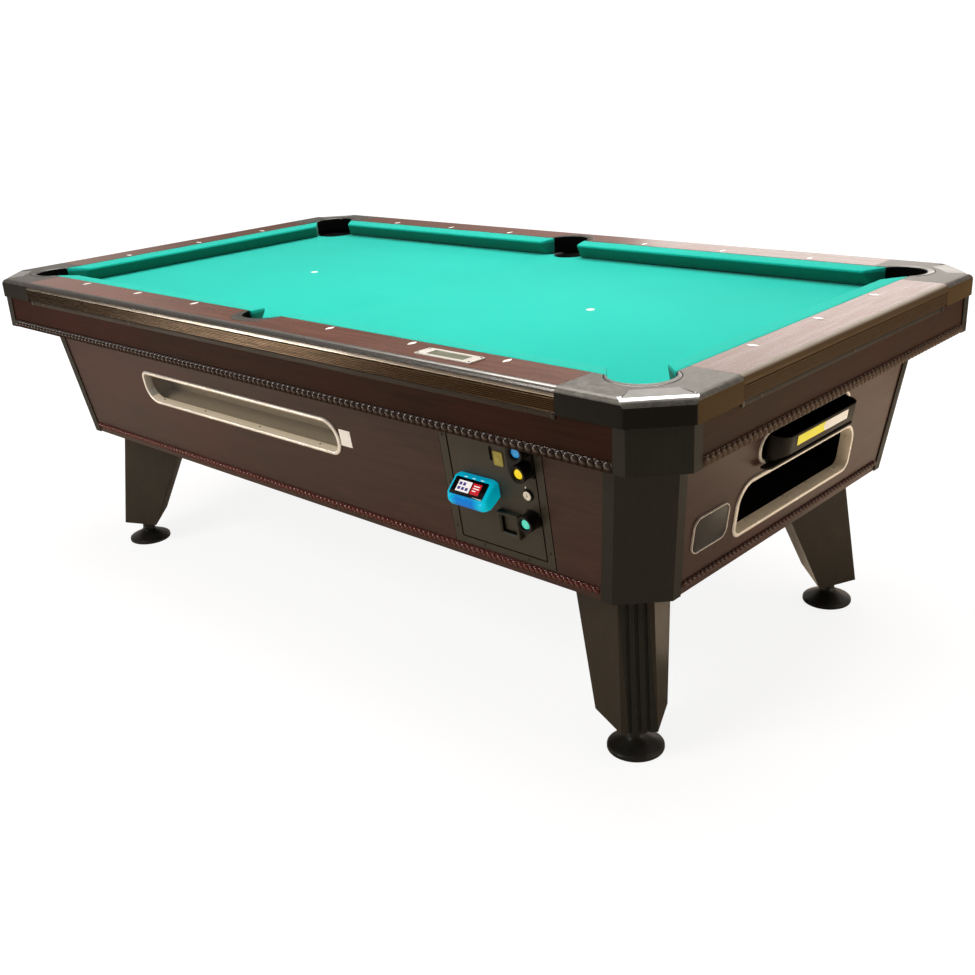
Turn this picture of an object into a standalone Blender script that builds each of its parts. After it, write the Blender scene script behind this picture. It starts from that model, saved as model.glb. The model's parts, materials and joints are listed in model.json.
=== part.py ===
"""Coin-operated pool table, modelled as separate pieces at real size.

Frame: metres, +Z up, origin on the floor under the middle of the bed.
+X runs along the table to the ball-return end, -Y is the long side with
the ball window and the coin door.
"""
import math

import bmesh
import bpy
from mathutils import Matrix, Vector

# ---------------------------------------------------------------- dimensions
LENGTH = 2.235            # rail outside to rail outside, along X
WIDTH = 1.265             # rail outside to rail outside, along Y
RAIL_TOP = 0.808          # laminate surface above the floor
RAIL_EDGE = 0.796         # where the rounded outer edge ends
FIELD_L = 1.932           # cushion nose to cushion nose, along X
FIELD_W = 0.966           # cushion nose to cushion nose, along Y
CUSHION = 0.0467          # nose to the back of the cushion
CASTING = 0.220           # corner casting, measured along each side
CORNER_CUT = 0.083        # chamfer of the corner castings
TRIM_T = 0.012            # aluminium edge trim thickness
TRIM_LOW = 0.7632         # lower edge of the edge trim

SLATE_L, SLATE_W = 2.140, 1.170
SLATE_LOW, SLATE_TOP = 0.7450, 0.7640
CLOTH_LOW, CLOTH_TOP = 0.7643, 0.7650
CLOTH_LAP = 0.034         # cloth under the cushions

APRON_IN = 0.008          # apron set back from the rail outside
APRON_LOW, APRON_TOP = 0.678, 0.7595
APRON_BEAM = 0.0475       # apron frame thickness
APRON_CUT = 0.076         # corner chamfer of the apron
SOFFIT_T = 0.014

WALL_LOW = 0.365          # lower edge of the cabinet walls
WALL_X, WALL_Y = 0.9882, 0.5008   # half sizes of the cabinet at that edge
WALL_LEAN = math.radians(7.8)
WALL_T = 0.019
WALL_CUT = 0.078          # corner chamfer of the lower cabinet
POST_T = 0.0025           # corner cover thickness over the walls
POST_LAP = 0.024          # how far the cover laps onto each wall
GAP = 0.0005

LEG_LOW, LEG_TOP = 0.067, 0.3705
LEG_REF_TOP = 0.360       # height at which the upper leg section is measured
FOOT_X, FOOT_Y = 0.891, 0.404
FOOT_R = 0.058

POCKET_X, POCKET_Y, POCKET_R = 0.974, 0.496, 0.058
SIDE_Y, SIDE_R = 0.530, 0.0465
NOTCH_Y, NOTCH_R = 0.545, 0.0622

SIN_A, COS_A, TAN_A = math.sin(WALL_LEAN), math.cos(WALL_LEAN), math.tan(WALL_LEAN)


def up(z):
    """Distance up the leaning wall face for a height above the floor."""
    return (z - WALL_LOW) / COS_A


# control door, in the front face frame (x along, y up the slope)
DOOR = (0.5440, up(0.4135), 0.7630, up(0.6510))
DOOR_T = 0.003
FRAME_OUT = (0.5230, up(0.396), 0.7840, up(0.664))
FRAME_IN = (0.5425, up(0.412), 0.7645, up(0.6525))
HINGE_X = 0.5437
BUTTON_X = 0.7450
BUTTON_Z = {"button_blue": 0.6465, "button_yellow": 0.6040, "button_green": 0.500}
LOCK_X, LOCK_Z = 0.740, 0.549
CUP_X, CUP_Z = 0.6865, 0.4755

WINDOW = (-0.552, up(0.5205), 0.202, up(0.5935))
RETURN = (-0.233, up(0.4255), 0.233, up(0.5315))
CUE = (-0.178, up(0.5605), 0.178, up(0.6205))

# ------------------------------------------------------------------ clean up
for ob in list(bpy.data.objects):
    bpy.data.objects.remove(ob, do_unlink=True)

PARTS = bpy.data.collections.new("coin_pool_table")
GUIDES = bpy.data.collections.new("cutters")
bpy.context.scene.collection.children.link(PARTS)
bpy.context.scene.collection.children.link(GUIDES)


# ----------------------------------------------------------------- materials
def material(name, rgb, roughness, metallic=0.0):
    mat = bpy.data.materials.new(name)
    mat.use_nodes = True
    shader = mat.node_tree.nodes["Principled BSDF"]
    shader.inputs["Base Color"].default_value = (*rgb, 1.0)
    shader.inputs["Roughness"].default_value = roughness
    shader.inputs["Metallic"].default_value = metallic
    mat.diffuse_color = (*rgb, 1.0)
    return mat


LAMINATE = material("cabinet_laminate", (0.055, 0.024, 0.018), 0.35)
RAILWOOD = material("rail_laminate", (0.16, 0.070, 0.052), 0.30)
CLOTH = material("green_cloth", (0.03, 0.58, 0.46), 0.95)
SLATE = material("slate", (0.12, 0.13, 0.14), 0.7)
CASTMETAL = material("casting_metal", (0.22, 0.21, 0.19), 0.32, 1.0)
BRONZE = material("bronze_trim", (0.17, 0.12, 0.075), 0.38, 1.0)
BLACK = material("black_plastic", (0.018, 0.018, 0.015), 0.45)
LEGPAINT = material("leg_laminate", (0.024, 0.023, 0.018), 0.42)
PANEL = material("door_paint", (0.035, 0.034, 0.028), 0.45)
SILVER = material("bright_trim", (0.66, 0.60, 0.50), 0.28, 1.0)
CYAN = material("cyan_plastic", (0.01, 0.30, 0.42), 0.35)
CLEAR = material("clear_acrylic", (0.75, 0.78, 0.78), 0.08)
STEEL = material("plated_steel", (0.55, 0.55, 0.53), 0.30, 1.0)
BOARD = material("inner_board", (0.32, 0.25, 0.16), 0.7)
BLUE = material("blue_cap", (0.02, 0.20, 0.55), 0.4)
YELLOW = material("yellow_cap", (0.75, 0.55, 0.03), 0.4)
GREEN = material("green_cap", (0.02, 0.42, 0.32), 0.4)


# ------------------------------------------------------------------- helpers
def tidy(mesh, dist=1e-5):
    """Weld loose caps and turn the faces outwards."""
    bm = bmesh.new()
    bm.from_mesh(mesh)
    bmesh.ops.remove_doubles(bm, verts=bm.verts, dist=dist)
    bmesh.ops.recalc_face_normals(bm, faces=bm.faces)
    bm.to_mesh(mesh)
    bm.free()
    return mesh


def plate(points, z0, z1, holes=()):
    """Flat outline, with holes, from z0 to z1."""
    curve = bpy.data.curves.new("outline", "CURVE")
    curve.dimensions = "2D"
    curve.fill_mode = "BOTH"
    curve.extrude = (z1 - z0) / 2
    for loop in (points, *holes):
        spline = curve.splines.new("POLY")
        spline.points.add(len(loop) - 1)
        for point, (x, y) in zip(spline.points, loop):
            point.co = (x, y, 0.0, 1.0)
        spline.use_cyclic_u = True
    ob = bpy.data.objects.new("outline", curve)
    GUIDES.objects.link(ob)
    graph = bpy.context.evaluated_depsgraph_get()
    mesh = bpy.data.meshes.new_from_object(ob.evaluated_get(graph))
    bpy.data.objects.remove(ob)
    bpy.data.curves.remove(curve)
    mesh.transform(Matrix.Translation((0, 0, (z0 + z1) / 2)))
    return tidy(mesh)


def profile_x(points, x0, x1):
    """Outline given as (y, z), run along X from x0 to x1."""
    mesh = plate(points, x0, x1)
    # local x -> Y, local y -> Z, local z -> X
    mesh.transform(Matrix(((0, 0, 1, 0), (1, 0, 0, 0), (0, 1, 0, 0), (0, 0, 0, 1))))
    return tidy(mesh)


def box(x0, y0, z0, x1, y1, z1):
    mesh = bpy.data.meshes.new("box")
    bm = bmesh.new()
    bmesh.ops.create_cube(bm, size=1.0)
    bmesh.ops.scale(bm, verts=bm.verts, vec=(x1 - x0, y1 - y0, z1 - z0))
    bmesh.ops.translate(bm, verts=bm.verts, vec=((x0 + x1) / 2, (y0 + y1) / 2, (z0 + z1) / 2))
    bm.to_mesh(mesh)
    bm.free()
    return mesh


def drum(x, y, z0, z1, r, seg=40, r_top=None):
    """Upright cylinder or cone between two heights."""
    mesh = bpy.data.meshes.new("drum")
    bm = bmesh.new()
    bmesh.ops.create_cone(bm, cap_ends=True, segments=seg, radius1=r,
                          radius2=r if r_top is None else r_top, depth=z1 - z0)
    bmesh.ops.translate(bm, verts=bm.verts, vec=(x, y, (z0 + z1) / 2))
    bm.to_mesh(mesh)
    bm.free()
    return mesh


def merged(*meshes):
    """Several bodies in one mesh (used for cutters)."""
    bm = bmesh.new()
    for mesh in meshes:
        bm.from_mesh(mesh)
    out = bpy.data.meshes.new("merged")
    bm.to_mesh(out)
    bm.free()
    return out


def flipped(mesh, sx=1, sy=1):
    """Copy mirrored over the middle of the table."""
    out = mesh.copy()
    out.transform(Matrix.Diagonal((sx, sy, 1, 1)))
    if sx * sy < 0:
        out.flip_normals()
    return out


def smooth(mesh, angle=35):
    mesh.shade_smooth()
    mesh.set_sharp_from_angle(angle=math.radians(angle))
    return mesh


def piece(name, mesh, mat, parent=None, location=None):
    """A named sub-part. With a location, that point becomes its origin."""
    mesh.name = name
    mesh.materials.clear()
    mesh.materials.append(mat)
    ob = bpy.data.objects.new(name, mesh)
    if location is not None:
        mesh.transform(Matrix.Translation(-Vector(location)))
        ob.location = location
    ob.parent = parent
    PARTS.objects.link(ob)
    return ob


def guide(mesh, parent=None):
    ob = bpy.data.objects.new("guide", mesh)
    ob.parent = parent
    ob.hide_render = True
    ob.display_type = "WIRE"
    GUIDES.objects.link(ob)
    return ob


def boolean(ob, other, operation):
    mod = ob.modifiers.new(operation.lower(), "BOOLEAN")
    mod.operation = operation
    mod.solver = "EXACT"
    mod.object = other
    return ob


def cut(ob, *others):
    for other in others:
        boolean(ob, other, "DIFFERENCE")
    return ob


def join(ob, *others):
    for other in others:
        boolean(ob, other, "UNION")
    return ob


def arc(cx, cy, r, a0, a1, n):
    return [(cx + r * math.cos(math.radians(a0 + (a1 - a0) * i / n)),
             cy + r * math.sin(math.radians(a0 + (a1 - a0) * i / n))) for i in range(n + 1)]


def rounded(x0, y0, x1, y1, radii, grow=0.0, n=6):
    """Rectangle with corner radii (lower left, lower right, upper right, upper left)."""
    ll, lr, ur, ul = [max(0.0005, r + grow) for r in radii]
    x0, y0, x1, y1 = x0 - grow, y0 - grow, x1 + grow, y1 + grow
    return (arc(x0 + ll, y0 + ll, ll, 180, 270, n) + arc(x1 - lr, y0 + lr, lr, 270, 360, n)
            + arc(x1 - ur, y1 - ur, ur, 0, 90, n) + arc(x0 + ul, y1 - ul, ul, 90, 180, n))


def rect(x0, y0, x1, y1):
    return [(x0, y0), (x1, y0), (x1, y1), (x0, y1)]


def empty(name, location, rotation, parent=None):
    ob = bpy.data.objects.new(name, None)
    ob.location = location
    ob.rotation_euler = rotation
    ob.parent = parent
    GUIDES.objects.link(ob)
    return ob


# A frame on each leaning wall: x to the right, y up the slope, z outwards.
def wall_frame(name, half, turn):
    return empty(name, Matrix.Rotation(turn, 3, "Z") @ Vector((0, -half, WALL_LOW)),
                 (math.pi / 2 + WALL_LEAN, 0, turn))


FRONT = wall_frame("front_face", WALL_Y, 0.0)
FOOT = wall_frame("foot_face", WALL_X, math.pi / 2)
REAR = wall_frame("rear_face", WALL_Y, math.pi)
HEAD = wall_frame("head_face", WALL_X, -math.pi / 2)
bpy.context.view_layer.update()

# ------------------------------------------------- shared cutters of the bed
APRON_X, APRON_Y = LENGTH / 2 - APRON_IN, WIDTH / 2 - APRON_IN
SLATE_CUT = 0.070


def cut_rect(hx, hy, c):
    return [(-hx + c, -hy), (hx - c, -hy), (hx, -hy + c), (hx, hy - c),
            (hx - c, hy), (-hx + c, hy), (-hx, hy - c), (-hx, -hy + c)]


CORNERS = (("near_foot", 1, -1), ("near_head", -1, -1), ("far_foot", 1, 1), ("far_head", -1, 1))


def pocket_drums(r_corner, r_side, z0, z1):
    return [drum(sx * POCKET_X, sy * POCKET_Y, z0, z1, r_corner) for _, sx, sy in CORNERS] + \
           [drum(0, sy * SIDE_Y, z0, z1, r_side) for sy in (-1, 1)]


bed_holes = guide(merged(*pocket_drums(POCKET_R + 0.0003, SIDE_R, 0.70, 0.78)))
casting_holes = guide(merged(*pocket_drums(POCKET_R, 0.001, 0.70, 0.85)[:4]))
notch_holes = guide(merged(drum(0, NOTCH_Y, 0.70, 0.85, NOTCH_R), drum(0, -NOTCH_Y, 0.70, 0.85, NOTCH_R)))
slate_room = guide(plate(cut_rect(SLATE_L / 2 + 0.001, SLATE_W / 2 + 0.001, SLATE_CUT), 0.70, SLATE_TOP + 0.0003))

# ------------------------------------------------------------- cabinet sides
SIDES = {
    "front_side": (FRONT, 0.0, WALL_X, WALL_Y, APRON_X, APRON_Y),
    "rear_side": (REAR, math.pi, WALL_X, WALL_Y, APRON_X, APRON_Y),
    "foot_end": (FOOT, math.pi / 2, WALL_Y, WALL_X, APRON_Y, APRON_X),
    "head_end": (HEAD, -math.pi / 2, WALL_Y, WALL_X, APRON_Y, APRON_X),
}
side_ob = {}
for name, (face, turn, along, half, a_along, a_half) in SIDES.items():
    top = up(0.690)
    end0 = along - WALL_CUT - 0.0015
    end1 = end0 + top * SIN_A
    board = plate([(-end0, 0), (end0, 0), (end1, top), (-end1, top)], -WALL_T, 0.0)
    ob = piece(name, board, LAMINATE, face)
    # apron frame with a lip round the slate, and the soffit over the wall
    lip = (SLATE_W if abs(math.sin(turn)) < 0.5 else SLATE_L) / 2 + 0.001
    beam = [(-a_half, APRON_LOW), (-a_half, APRON_TOP), (-lip, APRON_TOP), (-lip, SLATE_LOW - 0.0003),
            (-a_half + APRON_BEAM, SLATE_LOW - 0.0003), (-a_half + APRON_BEAM, APRON_LOW)]
    reach = a_along - APRON_CUT - 0.0015
    inner = half + TAN_A * (APRON_LOW - WALL_LOW) - WALL_T / COS_A
    soffit = rect(-a_half + 0.02, APRON_LOW + 0.0002, -inner, APRON_LOW + SOFFIT_T)
    upright = empty(name + "_upright", (0, 0, 0), (0, 0, turn))
    join(ob, guide(profile_x(beam, -reach, reach), upright),
         guide(profile_x(soffit, -end1 + 0.0005, end1 - 0.0005), upright))
    side_ob[name] = ob

# openings of the front side and the foot end
WINDOW_R = (0.040, 0.016, 0.042, 0.016)
RETURN_R = (0.020, 0.020, 0.045, 0.045)
CUE_R = ((CUE[3] - CUE[1]) / 2 - 0.0001,) * 4
cut(side_ob["front_side"],
    guide(plate(rounded(*WINDOW, WINDOW_R, 0.0), -0.05, 0.05), FRONT),
    guide(plate(rect(FRAME_OUT[0] - 0.0006, FRAME_OUT[1] - 0.0006, FRAME_OUT[2] + 0.0006, FRAME_OUT[3] + 0.0006),
                -0.05, 0.03), FRONT))
cut(side_ob["foot_end"],
    guide(plate(rounded(*RETURN, RETURN_R, 0.0), -0.05, 0.05), FOOT),
    guide(plate(rounded(*CUE, CUE_R, 0.0), -0.05, 0.03), FOOT))

piece("bottom_panel", plate(cut_rect(0.9670, 0.4810, 0.060), 0.371, 0.387), BOARD)

# --------------------------------------------------------------- corner posts
def post_outline(cut_len, lap, t, inner, depth_gap):
    """Chamfered corner seen from above, relative to the sharp outer corner."""
    fold = -cut_len + (math.sqrt(2) - 1) * t
    g = 0.0004
    half = [(-cut_len - lap, t), (fold, t)]
    tail = [(t, fold), (t, -cut_len - lap), (g, -cut_len - lap), (g, -cut_len - depth_gap),
            (-inner, -cut_len - depth_gap)]
    back = [(-cut_len - depth_gap, -inner), (-cut_len - depth_gap, g), (-cut_len - lap, g)]
    return half + tail + back


for tag, sx, sy in CORNERS:
    low = plate([(WALL_X + x, WALL_Y + y) for x, y in post_outline(WALL_CUT, POST_LAP, POST_T, WALL_T, 0.0005)],
                WALL_LOW - 0.0015, APRON_LOW - 0.0004)
    # the lower cabinet widens upwards on both sides
    shear = Matrix.Identity(4)
    shear[0][2] = shear[1][2] = TAN_A
    low.transform(Matrix.Translation((0, 0, WALL_LOW)) @ shear @ Matrix.Translation((0, 0, -WALL_LOW)))
    high = plate([(APRON_X + x, APRON_Y + y) for x, y in post_outline(APRON_CUT, POST_LAP, POST_T, APRON_BEAM - 0.001, 0.0005)],
                 APRON_LOW, APRON_TOP - 0.0003)
    vx = WALL_X + TAN_A * (0.690 - WALL_LOW)
    vy = WALL_Y + TAN_A * (0.690 - WALL_LOW)
    bx, by = APRON_X - APRON_BEAM - 0.0008, APRON_Y - APRON_BEAM - 0.0008
    kx, ky = APRON_X - APRON_CUT - 0.0003, APRON_Y - APRON_CUT - 0.0003
    x0, y0 = vx - WALL_CUT - 0.0002, vy - WALL_CUT - 0.0002
    ledge = plate([(x0, vy - WALL_T - 0.001), (x0, by), (kx, by), (kx, by + 0.012), (bx + 0.012, ky), (bx, ky), (bx, y0),
                   (vx - WALL_T - 0.001, y0)], APRON_LOW - 0.0012, APRON_LOW + SOFFIT_T - 0.0005)
    ob = piece("corner_post_" + tag, flipped(low, sx, sy), BLACK)
    join(ob, guide(flipped(ledge, sx, sy)), guide(flipped(high, sx, sy)))

# ------------------------------------------------------------ slate and cloth
def slot_out(x, y, r, turn, reach):
    """Round-ended slot from a pocket centre outwards, as slates are notched."""
    mesh = plate(arc(0, 0, r, 90, 270, 12) + [(reach, -r), (reach, r)], 0.70, 0.80)
    mesh.transform(Matrix.Translation((x, y, 0)) @ Matrix.Rotation(turn, 4, "Z"))
    return mesh


slate = piece("slate_bed", plate(cut_rect(SLATE_L / 2, SLATE_W / 2, SLATE_CUT), SLATE_LOW, SLATE_TOP), SLATE)
slots = [slot_out(sx * POCKET_X, sy * POCKET_Y, POCKET_R + 0.0003, math.atan2(sy, sx), 0.2) for _, sx, sy in CORNERS]
slots += [slot_out(0, sy * SIDE_Y, SIDE_R, sy * math.pi / 2, 0.1) for sy in (-1, 1)]
cut(slate, guide(merged(*slots)))
hx, hy = FIELD_L / 2 + CLOTH_LAP, FIELD_W / 2 + CLOTH_LAP
cloth = piece("bed_cloth", plate(rect(-hx, -hy, hx, hy), CLOTH_LOW, CLOTH_TOP), CLOTH)
cut(cloth, bed_holes)

# ------------------------------------------------------------------- cushions
NOSE = ((0.0, 0.8000), (0.0008, 0.8022), (0.0030, 0.8036), (CUSHION, RAIL_TOP), (CUSHION, 0.7668),
        (0.0210, 0.7668), (0.0008, 0.7978))


def cushion(x0, x1, k0, k1, nose):
    """Cushion along X between two pocket jaws; its back is longer than its nose."""
    mesh = profile_x([(-nose - q, z) for q, z in NOSE], 0.0, 1.0)
    for v in mesh.vertices:
        q = -v.co.y - nose
        v.co.x = x1 + k1 * q if v.co.x > 0.5 else x0 - k0 * q
    return tidy(mesh)


NX, NY = FIELD_L / 2, FIELD_W / 2
LONG_END, SHORT_END = NX - 0.074, NY - 0.074
K_LONG, K_SHORT, K_SIDE = 0.77, 0.945, 0.25
SIDE_END = 0.064
for side, sy in (("near", 1), ("far", -1)):
    right = cushion(SIDE_END, LONG_END, K_SIDE, K_LONG, NY)
    piece("cushion_%s_foot" % side, flipped(right, 1, sy), CLOTH)
    piece("cushion_%s_head" % side, flipped(right, -1, sy), CLOTH)
short = cushion(-SHORT_END, SHORT_END, K_SHORT, K_SHORT, NX)
for name, turn in (("cushion_foot_end", math.pi / 2), ("cushion_head_end", -math.pi / 2)):
    mesh = short.copy()
    mesh.transform(Matrix.Rotation(turn, 4, "Z"))
    piece(name, mesh, CLOTH)

# ---------------------------------------------------------------------- rails
RAIL_IN = CUSHION + 0.0006
RAIL_LOW = SLATE_TOP + 0.0003
LONG_SEAM, SHORT_SEAM = LENGTH / 2 - CASTING, WIDTH / 2 - CASTING
for side, sy in (("near", -1), ("far", 1)):
    mesh = box(-LONG_SEAM + GAP, NY + RAIL_IN, RAIL_LOW, LONG_SEAM - GAP, WIDTH / 2 - TRIM_T - GAP, RAIL_TOP)
    cut(piece("rail_%s" % side, flipped(mesh, 1, sy), RAILWOOD), notch_holes)
for end, sx in (("foot", 1), ("head", -1)):
    mesh = box(NX + RAIL_IN, -SHORT_SEAM + GAP, RAIL_LOW, LENGTH / 2 - TRIM_T - GAP, SHORT_SEAM - GAP, RAIL_TOP)
    piece("rail_%s" % end, flipped(mesh, sx, 1), RAILWOOD)


def trim_profile(out):
    """Rounded top edge, a groove, then fine ribs down the face."""
    pts = [(out - TRIM_T + d, z) for d, z in
           [(TRIM_T * math.sin(math.radians(a)), RAIL_EDGE + TRIM_T * math.cos(math.radians(a))) for a in range(0, 91, 18)]]
    pts += [(out, 0.7906), (out - 0.0022, 0.7902), (out - 0.0022, 0.7882), (out - 0.0004, 0.7878)]
    ribs, pitch = 7, 0.0033
    for i in range(ribs):
        z = 0.7874 - i * pitch
        pts += [(out, z - 0.0004), (out, z - 0.0022), (out - 0.0013, z - 0.0026), (out - 0.0013, z - 0.0031)]
    pts += [(out - 0.0005, TRIM_LOW), (out - TRIM_T, TRIM_LOW)]
    return pts


for side, turn, half, seam in (("near", 0.0, WIDTH / 2, LONG_SEAM), ("far", math.pi, WIDTH / 2, LONG_SEAM),
                               ("foot", math.pi / 2, LENGTH / 2, SHORT_SEAM),
                               ("head", -math.pi / 2, LENGTH / 2, SHORT_SEAM)):
    mesh = profile_x([(-d, z) for d, z in trim_profile(half)], -seam + GAP, seam - GAP)
    mesh.transform(Matrix.Rotation(turn, 4, "Z"))
    piece("rail_trim_%s" % side, mesh, BRONZE)


# ------------------------------------------------------------ pocket castings
def casting_mesh():
    lx, ly = LENGTH / 2, WIDTH / 2
    fx, fy = NX + RAIL_IN, NY + RAIL_IN
    outline = [(lx - CASTING, fy), (lx - CASTING, ly), (lx - CORNER_CUT, ly), (lx, ly - CORNER_CUT),
               (lx, ly - CASTING), (fx, ly - CASTING), (fx, fy)]
    mesh = plate(outline[::-1], 0.7600, RAIL_TOP)
    bm = bmesh.new()
    bm.from_mesh(mesh)
    bmesh.ops.dissolve_limit(bm, angle_limit=0.01, verts=bm.verts, edges=bm.edges)
    rim = [e for e in bm.edges
           if all(v.co.z > RAIL_TOP - 1e-4 for v in e.verts)
           and all(v.co.x > lx - 1e-4 or v.co.y > ly - 1e-4 for v in e.verts)
           and e.calc_length() > 0.01
           and not all(abs(v.co.y - (ly - CASTING)) < 1e-4 for v in e.verts)]
    bmesh.ops.bevel(bm, geom=rim, offset=TRIM_T, segments=4, affect="EDGES", profile=0.5)
    bm.to_mesh(mesh)
    bm.free()
    return tidy(mesh)


base_casting = casting_mesh()
for tag, sx, sy in CORNERS:
    cut(piece("corner_casting_" + tag, smooth(flipped(base_casting, sx, sy)), CASTMETAL), casting_holes, slate_room)


def crescent():
    """Side-pocket rim: between the rail notch and the pocket mouth."""
    feather = NY + RAIL_IN + 0.0003
    r1 = NOTCH_R - 0.0005
    a = math.degrees(math.asin((feather - NOTCH_Y) / r1))
    cy, r2 = 0.5215, 0.0573
    b = math.degrees(math.asin((feather - cy) / r2))
    return arc(0, NOTCH_Y, r1, a, 180 - a, 28) + arc(0, cy, r2, 180 - b, b, 24)


for side, sy in (("near", -1), ("far", 1)):
    mesh = plate(crescent(), RAIL_LOW, RAIL_TOP + 0.0006)
    piece("side_casting_%s" % side, smooth(flipped(mesh, 1, sy)), CASTMETAL)


# --------------------------------------------------- pocket chutes and runways
CHUTE = 0.6965                     # where a chute meets its runway
CH_OUT, CH_IN = 0.4425, 0.3650     # runway side walls


def runway(sy):
    wall = 0.0026
    outer = box(-0.985, CH_OUT - wall, 0.636, 0.985, CH_OUT, CHUTE + 0.002)
    inner = box(-0.985, CH_IN - wall, 0.636, 0.985, CH_IN, 0.716)
    floor = box(-0.9845, CH_IN - wall / 2, -0.0015, 0.9845, CH_OUT - wall / 2, 0.0015)
    for v in floor.vertices:         # falls towards the ball-return end
        v.co.z += 0.655 - 0.013 * v.co.x
    ob = piece("ball_runway_near" if sy < 0 else "ball_runway_far", flipped(outer, 1, sy), BLACK)
    join(ob, guide(flipped(floor, 1, sy)), guide(flipped(inner, 1, sy)))
    for x, half, far in ((-0.962, 0.046, 0.5520), (0.0, 0.044, 0.5740), (0.962, 0.046, 0.5520)):
        chute = box(x - half, CH_OUT - 0.0020, CHUTE - 0.0020, x + half, far, CHUTE + 0.0015)
        for v in chute.vertices:     # a pocketed ball rolls down to the runway
            v.co.z += 0.12 * (v.co.y - CH_OUT)
        join(ob, guide(flipped(chute, 1, sy)))
    return ob


runway(-1)
runway(1)

# ------------------------------------------------------------ legs and levellers
S2 = math.sqrt(0.5)


def leg_section(cx, cy, half, depth, inner):
    """Trapezoid on the diagonal, with three grooves in the outer face."""
    across, inward = Vector((-S2, S2)), Vector((-S2, -S2))
    c = Vector((cx, cy))
    pts = [c + across * half]
    for u in (0.5, 0.0, -0.5):
        for du, dv in ((0.095, 0.0), (0.055, 0.0035), (-0.055, 0.0035), (-0.095, 0.0)):
            pts.append(c + across * half * (u + du) + inward * dv)
    pts.append(c - across * half)
    pts.append(c + inward * depth - across * inner)
    pts.append(c + inward * depth + across * inner)
    return pts


def leg_mesh():
    low = leg_section(0.9297, 0.4443, 0.036, 0.0993, 0.0735)
    ref = leg_section(0.8978, 0.4116, 0.0354, 0.1820, 0.1046)
    f = (LEG_TOP - LEG_LOW) / (LEG_REF_TOP - LEG_LOW)
    high = [a + (b - a) * f for a, b in zip(low, ref)]
    mesh = plate([tuple(p) for p in low], LEG_LOW, LEG_TOP)
    for v in mesh.vertices:          # the upper section follows the same order
        if v.co.z > (LEG_LOW + LEG_TOP) / 2:
            i = min(range(len(low)), key=lambda k: (low[k] - v.co.xy).length)
            v.co.x, v.co.y = high[i]
    return tidy(mesh, 1e-6)


def foot_profile():
    """Radius and height down the outside of a leveller, top to bottom."""
    return [(0.0, 0.1060), (0.0090, 0.1060), (0.0090, 0.0560), (0.0160, 0.0550), (0.0170, 0.0360), (0.0220, 0.0280),
            (0.0400, 0.0175), (FOOT_R - 0.001, 0.0095), (FOOT_R, 0.0075), (FOOT_R, 0.0015), (FOOT_R - 0.0015, 0.0),
            (0.0, 0.0)]


def turned(points, steps=32):
    mesh = bpy.data.meshes.new("profile")
    bm = bmesh.new()
    verts = [bm.verts.new((r, 0.0, z)) for r, z in points]
    for a, b in zip(verts, verts[1:]):
        bm.edges.new((a, b))
    bm.to_mesh(mesh)
    bm.free()
    return mesh


leg = leg_mesh()
for tag, sx, sy in CORNERS:
    ob = piece("leg_" + tag, flipped(leg, sx, sy), LEGPAINT)
    cut(ob, guide(drum(sx * FOOT_X, sy * FOOT_Y, LEG_LOW - 0.02, 0.1185, 0.0096, 24)))
    foot = piece("leveller_" + tag, turned(foot_profile()), BLACK)
    foot.location = (sx * FOOT_X, sy * FOOT_Y, 0.0)
    mod = foot.modifiers.new("turn", "SCREW")
    mod.steps = mod.render_steps = 24
    mod.use_merge_vertices = True
    mod.merge_threshold = 0.00005
    mod.use_smooth_shade = True

# ------------------------------------------------------------ control opening
frame = piece("control_frame", plate(rect(*FRAME_OUT), -DOOR_T, -0.0002, [rect(*FRAME_IN)]), PANEL, FRONT)
flange_out = (FRAME_IN[0] - 0.0045, FRAME_IN[1] - 0.0045, FRAME_IN[2] + 0.0045, FRAME_IN[3] + 0.0045)
flange_in = (FRAME_IN[0] - 0.0025, FRAME_IN[1] - 0.0025, FRAME_IN[2] + 0.0025, FRAME_IN[3] + 0.0025)
join(frame, guide(plate(rect(*flange_out), -0.024, -0.0015, [rect(*flange_in)]), FRONT))

hinge = empty("coin_door_hinge", (HINGE_X, 0.0, 0.0), (0, 0, 0), FRONT)


def on_door(mesh):
    """Door pieces are placed from the hinge line."""
    mesh.transform(Matrix.Translation((-HINGE_X, 0, 0)))
    return mesh


door = piece("coin_door", on_door(plate(rect(*DOOR), -DOOR_T, 0.0)), PANEL, hinge)
cup_y, lock_y = up(CUP_Z), up(LOCK_Z)
slit_y = up(0.617)
cut(door, guide(on_door(box(0.6550, slit_y - 0.0145, -0.02, 0.6600, slit_y + 0.0145, 0.02)), hinge),
    guide(on_door(drum(LOCK_X, lock_y, -0.02, 0.02, 0.0100, 24)), hinge),
    guide(on_door(box(CUP_X - 0.0203, cup_y - 0.0203, -0.02, CUP_X + 0.0203, cup_y + 0.0203, 0.02)), hinge))

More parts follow.
